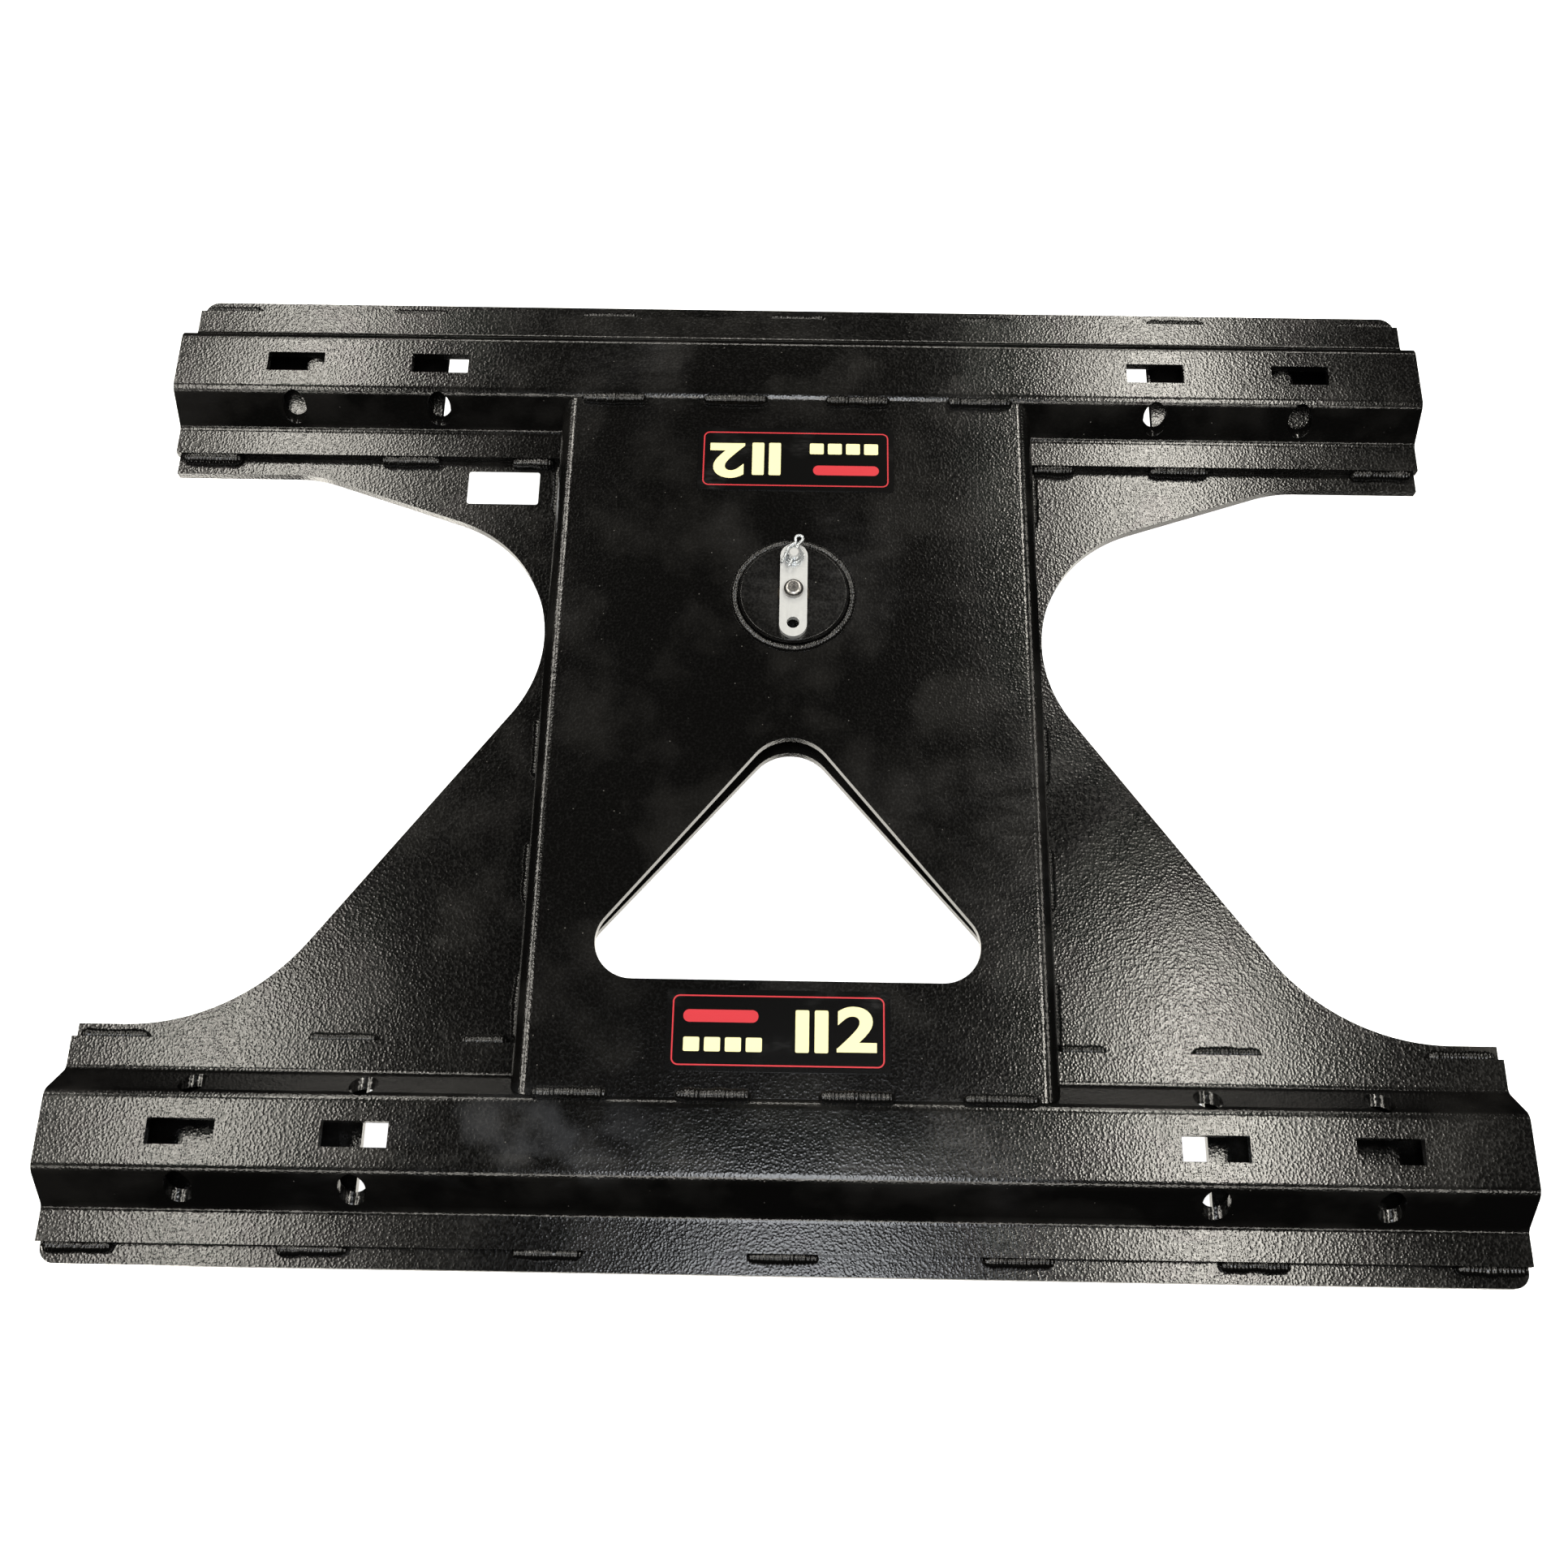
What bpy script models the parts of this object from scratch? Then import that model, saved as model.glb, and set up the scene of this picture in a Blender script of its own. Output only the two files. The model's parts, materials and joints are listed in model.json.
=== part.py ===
"""Fifth-wheel rail base: two slotted rails on a plate, locked to a truck bed by a centre post.

The lock arm on top of the post turns a scroll cam inside it, and the cam moves two
plungers that hook under the bed's round receiver. The origin is the middle of the base
plate's underside. +X runs along the rails and +Y points at the rail beside the post.
"""

import math

import bmesh
import bpy
from mathutils import Matrix, Vector

# ---------------------------------------------------------------- driving dimensions, metres
GAP = 0.0003  # clearance between pieces that touch
CHORD_ERROR = 0.00005  # how far an arc's chords may lie inside the arc
SHEET = 0.00635  # thickness of plate, rails and cover

RAIL_LENGTH = 0.910
RAIL_SPACING = 0.562  # between the rails' centre lines
RAIL_WIDTH = 0.127
RAIL_HEIGHT = 0.03175
CROWN_WIDTH = 0.0478  # across the flat top, bend corner to bend corner
FOOT_WIDTH = 0.0846  # across the feet of the sloped walls
CROWN_BEND = 0.009  # outside bend radius
FOOT_BEND = 0.006
SLOT_LENGTH = 0.0415
SLOT_WIDTH = 0.0159
SLOT_END = 0.087  # from a rail's end to the middle of its outer slot
SLOT_PITCH = 0.106
PIN_HOLE_WIDTH = 0.017
PIN_HOLE_HEIGHT = 0.0202
PIN_HOLE_DROP = 0.0012  # from the rail's top to the hole's top

PLATE_LENGTH = 0.9086
PLATE_MARGIN = 0.0123  # plate left outside a rail's outer edge, for the weld
PLATE_CORNER = 0.010
WINDOW_PAST_SLOT = 0.0028  # the window under a rail ends this far past the inner slot's middle
WINDOW_WIDTH = 0.076
WINDOW_CORNER = 0.006

WAIST_MARGIN = 0.0042  # plate left beside the cover at the narrowest place
BAY_THROAT_RADIUS = 0.099
BAY_THROAT_SHIFT = 0.0728  # the throat's centre lies this far toward +Y
BAY_FRONT_SLOPE = 19.0  # degrees from the rails
BAY_REAR_SLOPE = 54.1
BAY_FRONT_BEND = 0.090
BAY_REAR_BEND = 0.137
BAY_FRONT_MARGIN = 0.0137  # plate left inside the front rail's inner edge
BAY_REAR_MARGIN = 0.0097

COVER_WIDTH = 0.342
COVER_BEND = 0.0115
COVER_DROP = 0.0029  # from the rails' tops down to the cover's top

POST_TO_FRONT_RAIL = 0.1864
POST_DIAMETER = 0.0762
POST_PROUD = 0.0045  # above the cover
POST_BELOW = 0.076  # below the plate
POST_WALL = 0.0101
POST_CHAMFER = 0.0016
POST_NOSE_CHAMFER = 0.004
CAVITY_DEPTH = 0.042
WELD_LEG = 0.0056

TRIANGLE_WEB = 0.052  # from the post to the triangle's sharp tip
TRIANGLE_TO_REAR_RAIL = 0.101
TRIANGLE_WIDTH = 0.300  # at its base, between the sharp corners
TRIANGLE_TIP_RADIUS = 0.030
TRIANGLE_BASE_RADIUS = 0.0245
PLATE_TRIANGLE_GROWTH = 0.016  # the plate's triangle is this much wider than the cover's

ARM_LENGTH = 0.072
ARM_WIDTH = 0.019
ARM_THICKNESS = 0.004
ARM_HOLE_RADIUS = 0.0254  # from the pivot to each end hole
ARM_HOLE = 0.0086
LOCK_HOLE_DEPTH = 0.012

SHAFT_DIAMETER = 0.016
TANG_DIAMETER = 0.013
TANG_FLATS = 0.0106  # across the two flats that drive arm and cam
BUSH_DIAMETER = 0.022
BUSH_LENGTH = 0.020

SCREW_HEAD = 0.0139
SCREW_HEAD_HEIGHT = 0.0044
SCREW_THREAD = 0.0077
SCREW_LENGTH = 0.018
HEX_SOCKET = 0.0048  # across flats
HEX_DEPTH = 0.0026

STUD_DIAMETER = 0.008
STUD_HEAD = 0.011
STUD_HEAD_HEIGHT = 0.0012
STUD_ABOVE_CLIP = 0.003
WASHER_DIAMETER = 0.0143
WASHER_THICKNESS = 0.0015

CLIP_WIRE = 0.0022
CLIP_ANGLE = 20.0  # degrees from the arm's length toward +X
CLIP_TAIL = 0.0097
CLIP_EYE_RADIUS = 0.0026
CLIP_EYE_PLACE = 0.0130

THRUST_WASHER_DIAMETER = 0.030
THRUST_WASHER_THICKNESS = 0.002
CAM_CLEARANCE = 0.001  # between cam and cavity wall
CAM_THICKNESS = 0.008
CAM_THROW = 0.007  # plunger travel over a quarter turn
CAM_RIM = 0.006  # from the follower pin's centre to the cam's rim
CAM_SLOT_WIDTH = 0.0068
CAM_SLOT_SPARE = 3.0  # degrees past the pin at each end of a slot
CAM_TANG_DEPTH = 0.0037
CAM_SCREW_HEAD = 0.012
CAM_SCREW_HEAD_HEIGHT = 0.003
CAM_SCREW_THREAD = 0.006
CAM_SCREW_LENGTH = 0.022

PLUNGER_DIAMETER = 0.016
PLUNGER_LENGTH = 0.032
PLUNGER_REACH = 0.006  # past the post when locked
PLUNGER_TO_CAM = 0.0014
PLUNGER_CHAMFER = 0.0015
FOLLOWER_DIAMETER = 0.006
FOLLOWER_LENGTH = 0.012

POST_COVER_THICKNESS = 0.005
RING_THICKNESS = 0.002
RING_WIDTH = 0.0048
RING_GROOVE = 0.0016  # depth
RING_OPENING = 40.0  # degrees

DECAL_LENGTH = 0.140
DECAL_WIDTH = 0.052
DECAL_CORNER = 0.004
FRONT_DECAL_TO_RAIL = 0.0765  # from the rail's centre line to the decal's middle
REAR_DECAL_TO_RAIL = 0.0685
REAR_DECAL_SHIFT = -0.005  # along the rail
STICKER = 0.0003  # thickness
LABEL_LENGTH = 0.052
LABEL_WIDTH = 0.027
LABEL_CORNER = 0.002
LABEL_TO_COVER = 0.0425
LABEL_TO_RAIL = 0.086

# ---------------------------------------------------------------- sizes that follow from them
PLATE_TOP = SHEET
SEAT = PLATE_TOP + GAP  # rails and cover stand here
FLANGE_TOP = SEAT + SHEET
RAIL_TOP = SEAT + RAIL_HEIGHT
COVER_TOP = RAIL_TOP - COVER_DROP
POST_TOP = COVER_TOP + POST_PROUD
POST_Y = RAIL_SPACING / 2 - POST_TO_FRONT_RAIL
POST_RADIUS = POST_DIAMETER / 2
RAIL_INNER_EDGE = RAIL_SPACING / 2 - RAIL_WIDTH / 2
OUTER_SLOT = RAIL_LENGTH / 2 - SLOT_END
INNER_SLOT = OUTER_SLOT - SLOT_PITCH

CAVITY_RADIUS = POST_RADIUS - POST_WALL
CAVITY_TOP = CAVITY_DEPTH - POST_BELOW
CAM_RADIUS = CAVITY_RADIUS - CAM_CLEARANCE
CAM_TOP = CAVITY_TOP - THRUST_WASHER_THICKNESS - 2 * GAP
CAM_BOTTOM = CAM_TOP - CAM_THICKNESS
SHAFT_SHOULDER = CAM_TOP + GAP
FOLLOWER_RADIUS = CAM_RADIUS - CAM_RIM
PLUNGER_Z = CAM_BOTTOM - PLUNGER_TO_CAM - PLUNGER_DIAMETER / 2
POST_COVER_TOP = PLUNGER_Z - PLUNGER_DIAMETER / 2 - GAP
RING_TOP = POST_COVER_TOP - POST_COVER_THICKNESS - GAP
RING_BOTTOM = RING_TOP - RING_THICKNESS

ARM_BOTTOM = POST_TOP + GAP
ARM_TOP = ARM_BOTTOM + ARM_THICKNESS
WASHER_BOTTOM = ARM_TOP + GAP
CLIP_Z = WASHER_BOTTOM + WASHER_THICKNESS + GAP + CLIP_WIRE / 2
STUD_TOP = CLIP_Z + CLIP_WIRE / 2 + STUD_ABOVE_CLIP
STUD_Y = POST_Y + ARM_HOLE_RADIUS
CLIP_CLEAR = STUD_DIAMETER / 2 + CLIP_WIRE / 2 + GAP  # the free leg passes the stud this far out

# ---------------------------------------------------------------- scene and materials


def clear_scene():
    for item in list(bpy.data.objects):
        bpy.data.objects.remove(item, do_unlink=True)


def new_collection(name):
    collection = bpy.data.collections.new(name)
    bpy.context.scene.collection.children.link(collection)
    return collection


def new_material(name, colour, roughness, metallic):
    material = bpy.data.materials.new(name)
    material.use_nodes = True
    shader = material.node_tree.nodes["Principled BSDF"]
    shader.inputs["Base Color"].default_value = (*colour, 1.0)
    shader.inputs["Roughness"].default_value = roughness
    shader.inputs["Metallic"].default_value = metallic
    return material


clear_scene()
PARTS = new_collection("fifth_wheel_rail_base")
CUTTERS = new_collection("cutters")
FINISHES = {
    "black_coat": new_material("black_coat", (0.012, 0.012, 0.012), 0.35, 0.0),
    "weld_coat": new_material("weld_coat", (0.010, 0.010, 0.010), 0.2, 0.0),
    "zinc": new_material("zinc", (0.78, 0.79, 0.80), 0.3, 1.0),
    "dark_steel": new_material("dark_steel", (0.16, 0.15, 0.14), 0.35, 1.0),
    "ground_steel": new_material("ground_steel", (0.55, 0.55, 0.56), 0.25, 1.0),
    "bronze": new_material("bronze", (0.55, 0.38, 0.18), 0.35, 1.0),
    "black_decal": new_material("black_decal", (0.01, 0.01, 0.01), 0.25, 0.0),
    "white_label": new_material("white_label", (0.85, 0.85, 0.83), 0.5, 0.0),
}

# ---------------------------------------------------------------- outlines


def arc_steps(radius, sweep):
    """How many chords an arc needs, sweep in radians."""
    step = 2 * math.acos(1 - min(CHORD_ERROR / radius, 1.0))
    return max(2, math.ceil(abs(sweep) / step))


def arc(centre, radius, start, end):
    """Points of an arc, its angles in degrees."""
    first, sweep = math.radians(start), math.radians(end - start)
    count = arc_steps(radius, sweep)
    angles = [first + sweep * i / count for i in range(count + 1)]
    return [(centre[0] + radius * math.cos(a), centre[1] + radius * math.sin(a)) for a in angles]


def rounded_path(corners, closed=True):
    """Points along (x, y, radius) corners, each turned into an arc that its edges have room for."""
    count = len(corners)
    spots = [Vector(corner[:2]) for corner in corners]
    wanted, halves = [], []
    for i, (_, _, radius) in enumerate(corners):
        back, ahead = spots[i - 1] - spots[i], spots[(i + 1) % count] - spots[i]
        bare = radius == 0 or (not closed and i in (0, count - 1))
        halves.append(0 if bare else back.angle(ahead) / 2)
        wanted.append(0 if bare else radius / math.tan(halves[i]))
    points = []
    for i, here in enumerate(spots):
        if not wanted[i]:
            points.append(tuple(here))
            continue
        reach = wanted[i]
        for j in (i - 1, (i + 1) % count):
            edge = (spots[j] - here).length
            reach = min(reach, edge * wanted[i] / (wanted[i] + wanted[j]))
        back = (spots[i - 1] - here).normalized()
        ahead = (spots[(i + 1) % count] - here).normalized()
        centre = here + (back + ahead).normalized() * reach / math.cos(halves[i])
        spoke = here + back * reach - centre
        turn = math.pi - 2 * halves[i]
        if back.x * ahead.y - back.y * ahead.x > 0:
            turn = -turn
        steps = arc_steps(spoke.length, turn)
        points += [tuple(centre + Matrix.Rotation(turn * k / steps, 2) @ spoke) for k in range(steps + 1)]
    return points


def rectangle(length, width, radius=0.0, centre=(0.0, 0.0)):
    x, y = length / 2, width / 2
    corners = [(x, y), (-x, y), (-x, -y), (x, -y)]
    return rounded_path([(centre[0] + u, centre[1] + v, radius) for u, v in corners])


def circle(radius, centre=(0.0, 0.0)):
    return arc(centre, radius, 0, 360)[:-1]


def double_d(diameter, flats):
    """A circle with two parallel flats, across Y."""
    side = math.degrees(math.acos(flats / diameter))
    return arc((0, 0), diameter / 2, -90 + side, 90 - side) + arc((0, 0), diameter / 2, 90 + side, 270 - side)


def triangle(width):
    """The triangular cut-out: tip toward the post, base toward the rear rail."""
    tip_y = POST_Y - POST_RADIUS - TRIANGLE_WEB
    base_y = TRIANGLE_TO_REAR_RAIL - RAIL_SPACING / 2
    return rounded_path(
        [
            (0, tip_y, TRIANGLE_TIP_RADIUS),
            (-width / 2, base_y, TRIANGLE_BASE_RADIUS),
            (width / 2, base_y, TRIANGLE_BASE_RADIUS),
        ]
    )


def hat_profile(growth=0.0):
    """The rail's outer surface across its width, from edge to edge, grown outward by a distance."""
    lean = math.atan2((FOOT_WIDTH - CROWN_WIDTH) / 2, RAIL_HEIGHT - SHEET)
    shift = growth * (1 - math.sin(lean)) / math.cos(lean)
    edge = RAIL_WIDTH / 2 + growth
    foot = FOOT_WIDTH / 2 + shift
    crown = CROWN_WIDTH / 2 + shift
    low, high = FLANGE_TOP + growth, RAIL_TOP + growth
    half = [(foot, low, FOOT_BEND - growth), (crown, high, CROWN_BEND + growth)]
    mirrored = [(-y, z, radius) for y, z, radius in reversed(half)]
    return rounded_path([(edge, low, 0), *half, *mirrored, (-edge, low, 0)], closed=False)


# ---------------------------------------------------------------- solids


def new_object(name, mesh, finish=None):
    """A named object among the parts, or a hidden cutter where it has no finish."""
    piece = bpy.data.objects.new(name, mesh)
    if finish:
        PARTS.objects.link(piece)
        mesh.materials.clear()
        mesh.materials.append(FINISHES[finish])
    else:
        CUTTERS.objects.link(piece)
        piece.hide_render = True
        piece.display_type = "WIRE"
    return piece


def mesh_from_bmesh(name, shape):
    mesh = bpy.data.meshes.new(name)
    shape.to_mesh(mesh)
    shape.free()
    mesh.shade_smooth()
    mesh.set_sharp_from_angle(angle=math.radians(30))
    return mesh


def solid_from_curve(name, curve, lift=0.0, finish=None):
    """The closed mesh of a curve object, its caps welded, raised by a height."""
    guide = bpy.data.objects.new(name + "_guide", curve)
    CUTTERS.objects.link(guide)
    graph = bpy.context.evaluated_depsgraph_get()
    raw = bpy.data.meshes.new_from_object(guide.evaluated_get(graph))
    shape = bmesh.new()
    shape.from_mesh(raw)
    bmesh.ops.remove_doubles(shape, verts=shape.verts, dist=0.000001)
    bmesh.ops.recalc_face_normals(shape, faces=shape.faces)
    bmesh.ops.translate(shape, verts=shape.verts, vec=(0, 0, lift))
    bpy.data.objects.remove(guide, do_unlink=True)
    bpy.data.meshes.remove(raw)
    return new_object(name, mesh_from_bmesh(name, shape), finish)


def flat_solid(name, outlines, bottom, thickness, finish=None):
    """A flat piece: the first outline is its edge and the others are holes."""
    curve = bpy.data.curves.new(name, "CURVE")
    curve.dimensions = "2D"
    curve.fill_mode = "BOTH"
    curve.extrude = thickness / 2
    for outline in outlines:
        spline = curve.splines.new("POLY")
        spline.points.add(len(outline) - 1)
        for point, (x, y) in zip(spline.points, outline):
            point.co = (x, y, 0, 1)
        spline.use_cyclic_u = True
    return solid_from_curve(name, curve, bottom + thickness / 2, finish)


def turned(name, profile, finish=None, segments=48):
    """A turned piece from (radius, height) points, down its outer side and up its inner side."""
    mesh = bpy.data.meshes.new(name)
    verts = [(radius, 0, height) for radius, height in profile]
    edges = [(i, i + 1) for i in range(len(verts) - 1)]
    if all(radius > 0 for radius, _ in profile):
        edges.append((len(verts) - 1, 0))
    mesh.from_pydata(verts, edges, [])
    piece = new_object(name, mesh, finish)
    screw = piece.modifiers.new("turn", "SCREW")
    screw.steps = screw.render_steps = segments
    screw.use_merge_vertices = True
    screw.merge_threshold = 0.00001
    return piece


def disc_profile(outer, inner, bottom, top):
    """The outline of a plain ring, or of a plain disc where inner is zero."""
    return [(inner, top), (outer, top), (outer, bottom), (inner, bottom)]


def cylinder(name, radius, start, end, finish=None, segments=32):
    """A cylinder between two points."""
    axis = Vector(end) - Vector(start)
    shape = bmesh.new()
    bmesh.ops.create_cone(
        shape, cap_ends=True, segments=segments, radius1=radius, radius2=radius, depth=axis.length
    )
    turn = Vector((0, 0, 1)).rotation_difference(axis).to_matrix().to_4x4()
    middle = (Vector(start) + Vector(end)) / 2
    bmesh.ops.transform(shape, matrix=Matrix.Translation(middle) @ turn, verts=shape.verts)
    return new_object(name, mesh_from_bmesh(name, shape), finish)


def box(name, low, high, finish=None):
    """A box between two corners."""
    low, high = Vector(low), Vector(high)
    shape = bmesh.new()
    bmesh.ops.create_cube(shape, size=1.0)
    place = Matrix.Translation((low + high) / 2) @ Matrix.Diagonal((*(high - low), 1.0))
    bmesh.ops.transform(shape, matrix=place, verts=shape.verts)
    return new_object(name, mesh_from_bmesh(name, shape), finish)


def run_out(name, profile, length, along, finish=None, closed=False):
    """A profile of (across, height) points run out along X or Y, as a surface or a closed bar."""
    shape = bmesh.new()
    ends = [(-length / 2, a, z) if along == "X" else (a, -length / 2, z) for a, z in profile]
    verts = [shape.verts.new(end) for end in ends]
    for first, second in zip(verts, verts[1:]):
        shape.edges.new((first, second))
    step = (length, 0, 0) if along == "X" else (0, length, 0)
    if closed:
        source = [shape.faces.new(verts)]
        grown = bmesh.ops.extrude_face_region(shape, geom=source)["geom"]
    else:
        grown = bmesh.ops.extrude_edge_only(shape, edges=shape.edges[:])["geom"]
    moved = [item for item in grown if isinstance(item, bmesh.types.BMVert)]
    bmesh.ops.translate(shape, verts=moved, vec=step)
    bmesh.ops.recalc_face_normals(shape, faces=shape.faces)
    shape.faces.ensure_lookup_table()
    highest = max(shape.faces, key=lambda face: face.calc_center_median().z)
    if not closed and highest.normal.z < 0:
        bmesh.ops.reverse_faces(shape, faces=shape.faces)
    return new_object(name, mesh_from_bmesh(name, shape), finish)


def folded_sheet(name, profile, length, along, finish):
    """A sheet bent to an outer profile, its thickness inside that profile."""
    piece = run_out(name, profile, length, along, finish)
    solidify = piece.modifiers.new("sheet", "SOLIDIFY")
    solidify.thickness = SHEET
    solidify.offset = -1
    solidify.use_even_offset = True
    return piece


def combine(piece, tool, operation="DIFFERENCE"):
    """Cut a piece with a tool, or join a tool to it."""
    boolean = piece.modifiers.new(tool.name, "BOOLEAN")
    boolean.operation = operation
    boolean.object = tool


def axis_empty(name, place, parent=None):
    """An empty that stands on a joint's axis and carries the pieces that move about it."""
    empty = bpy.data.objects.new(name, None)
    empty.location = place
    PARTS.objects.link(empty)
    empty.parent = parent
    return empty


def carry(empty, *pieces):
    """Hang pieces on an empty. Their meshes are in its frame."""
    for piece in pieces:
        piece.parent = empty


def at_post(*tools):
    """Move cutters from the post's frame to where the post stands."""
    for tool in tools:
        tool.location.y = POST_Y


# ---------------------------------------------------------------- fixed frame


def build_base_plate():
    half = PLATE_LENGTH / 2
    edge = RAIL_SPACING / 2 + RAIL_WIDTH / 2 + PLATE_MARGIN
    front, rear = RAIL_INNER_EDGE - BAY_FRONT_MARGIN, BAY_REAR_MARGIN - RAIL_INNER_EDGE
    up, down = math.radians(BAY_FRONT_SLOPE), math.radians(BAY_REAR_SLOPE)
    # the throat's two tangents meet at one corner, behind the throat's centre
    centre = Vector((COVER_WIDTH / 2 + WAIST_MARGIN + BAY_THROAT_RADIUS, BAY_THROAT_SHIFT))
    middle = (up - down) / 2
    corner = centre - Vector((math.cos(middle), math.sin(middle))) * BAY_THROAT_RADIUS / math.sin((up + down) / 2)
    front_bend = corner.x + (front - corner.y) / math.tan(up)
    rear_bend = corner.x + (corner.y - rear) / math.tan(down)
    right = [
        (half, -edge, PLATE_CORNER),
        (half, rear, 0),
        (rear_bend, rear, BAY_REAR_BEND),
        (corner.x, corner.y, BAY_THROAT_RADIUS),
        (front_bend, front, BAY_FRONT_BEND),
        (half, front, 0),
        (half, edge, PLATE_CORNER),
    ]
    left = [(-x, y, radius) for x, y, radius in reversed(right)]
    window_length = 2 * (INNER_SLOT + WINDOW_PAST_SLOT)
    windows = [
        rectangle(window_length, WINDOW_WIDTH, WINDOW_CORNER, (0, side * RAIL_SPACING / 2)) for side in (-1, 1)
    ]
    cut_out = triangle(TRIANGLE_WIDTH + PLATE_TRIANGLE_GROWTH)
    post_hole = circle(POST_RADIUS + GAP, (0, POST_Y))
    flat_solid("base_plate", [rounded_path(right + left), *windows, cut_out, post_hole], 0, SHEET, "black_coat")


def build_rail(name, side):
    """A hat-section rail with a slot and a pair of side pin holes at each of four places."""
    rail = folded_sheet(name, hat_profile(), RAIL_LENGTH, "X", "black_coat")
    rail.location.y = side * RAIL_SPACING / 2
    hole_top = RAIL_TOP - PIN_HOLE_DROP
    radius = PIN_HOLE_WIDTH / 2
    wall_start, wall_end = CROWN_WIDTH / 2 - CROWN_BEND / 2, FOOT_WIDTH / 2 + FOOT_BEND
    for number, place in enumerate((-OUTER_SLOT, -INNER_SLOT, INNER_SLOT, OUTER_SLOT), 1):
        low = (place - SLOT_LENGTH / 2, -SLOT_WIDTH / 2, RAIL_TOP - 2 * SHEET)
        high = (place + SLOT_LENGTH / 2, SLOT_WIDTH / 2, RAIL_TOP + SHEET)
        tools = [box(f"{name}_slot_{number}", low, high)]
        for wall in (-1, 1):
            low_centre, high_centre = hole_top - PIN_HOLE_HEIGHT + radius, hole_top - radius
            outline = arc((place, high_centre), radius, 0, 180) + arc((place, low_centre), radius, 180, 360)
            tool = run_out(f"{name}_pin_hole_{number}_{wall}", outline, wall_end - wall_start, "Y", closed=True)
            tool.location.y = wall * (wall_start + wall_end) / 2
            tools.append(tool)
        for tool in tools:
            tool.location.y += rail.location.y
            combine(rail, tool)


def build_center_cover():
    """A folded channel whose ends follow the rails' sloped walls."""
    half = COVER_WIDTH / 2
    profile = rounded_path(
        [(half, SEAT, 0), (half, COVER_TOP, COVER_BEND), (-half, COVER_TOP, COVER_BEND), (-half, SEAT, 0)],
        closed=False,
    )
    cover = folded_sheet("center_cover", profile, RAIL_SPACING, "Y", "black_coat")
    below = SEAT - SHEET
    for side in (-1, 1):
        edge = RAIL_WIDTH / 2 + GAP
        outline = [*hat_profile(GAP), (-edge, below), (edge, below)]
        tool = run_out(f"cover_end_{side}", outline, COVER_WIDTH + 4 * SHEET, "X", closed=True)
        tool.location.y = side * RAIL_SPACING / 2
        combine(cover, tool)
    sheet_bottom = COVER_TOP - 2 * SHEET
    combine(cover, flat_solid("cover_triangle", [triangle(TRIANGLE_WIDTH)], sheet_bottom, 3 * SHEET))
    hole = flat_solid("cover_post_hole", [circle(POST_RADIUS + GAP)], sheet_bottom, 3 * SHEET)
    at_post(hole)
    combine(cover, hole)


def build_post():
    """The post: bush bore from the top, cam cavity from below, and cross bores for the plungers."""
    bore = BUSH_DIAMETER / 2 + GAP
    groove = CAVITY_RADIUS + RING_GROOVE
    profile = [
        (bore, POST_TOP),
        (POST_RADIUS - POST_CHAMFER, POST_TOP),
        (POST_RADIUS, POST_TOP - POST_CHAMFER),
        (POST_RADIUS, POST_NOSE_CHAMFER - POST_BELOW),
        (POST_RADIUS - POST_NOSE_CHAMFER, -POST_BELOW),
        (CAVITY_RADIUS, -POST_BELOW),
        (CAVITY_RADIUS, RING_BOTTOM - GAP),
        (groove, RING_BOTTOM - GAP),
        (groove, RING_TOP + GAP),
        (CAVITY_RADIUS, RING_TOP + GAP),
        (CAVITY_RADIUS, CAVITY_TOP),
        (bore, CAVITY_TOP),
    ]
    post = turned("center_post", profile, "black_coat", segments=60)
    reach = POST_RADIUS + SHEET
    cross = cylinder(
        "post_cross_bore", PLUNGER_DIAMETER / 2 + GAP, (-reach, 0, PLUNGER_Z), (reach, 0, PLUNGER_Z)
    )
    lock_hole = cylinder(
        "post_lock_hole",
        ARM_HOLE / 2,
        (0, -ARM_HOLE_RADIUS, POST_TOP - LOCK_HOLE_DEPTH),
        (0, -ARM_HOLE_RADIUS, POST_TOP + SHEET),
    )
    at_post(post, cross, lock_hole)
    combine(post, cross)
    combine(post, lock_hole)

    start = POST_RADIUS + GAP
    low, high = COVER_TOP + GAP, POST_TOP - POST_CHAMFER
    rise = (high - low) / WELD_LEG
    bulge = [(start + r, low + z * rise) for r, z in arc((0, 0), WELD_LEG, 90, 0)]
    weld = turned("post_weld", [*bulge, (start, low)], "weld_coat", segments=60)
    at_post(weld)


def build_bushes():
    """Two plain bearings for the lock shaft, at the ends of the post's bore."""
    tops = {"upper_bush": POST_TOP - GAP, "lower_bush": CAVITY_TOP + GAP + BUSH_LENGTH}
    for name, top in tops.items():
        profile = disc_profile(BUSH_DIAMETER / 2, SHAFT_DIAMETER / 2 + GAP, top - BUSH_LENGTH, top)
        at_post(turned(name, profile, "bronze"))
    top = CAVITY_TOP - GAP
    washer = disc_profile(
        THRUST_WASHER_DIAMETER / 2, SHAFT_DIAMETER / 2 + GAP, top - THRUST_WASHER_THICKNESS, top
    )
    at_post(turned("thrust_washer", washer, "bronze"))


def build_post_cover():
    """The disc that closes the cavity, and the snap ring under it."""
    bottom = POST_COVER_TOP - POST_COVER_THICKNESS
    disc = turned("post_cover", disc_profile(CAVITY_RADIUS - GAP, 0, bottom, POST_COVER_TOP), "ground_steel")
    outer = CAVITY_RADIUS + RING_GROOVE - GAP
    gap_end = 90 + RING_OPENING / 2
    outline = arc((0, 0), outer, gap_end, gap_end + 360 - RING_OPENING)
    outline += arc((0, 0), outer - RING_WIDTH, gap_end + 360 - RING_OPENING, gap_end)
    ring = flat_solid("cover_ring", [outline], RING_BOTTOM, RING_THICKNESS, "dark_steel")
    at_post(disc, ring)


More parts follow.
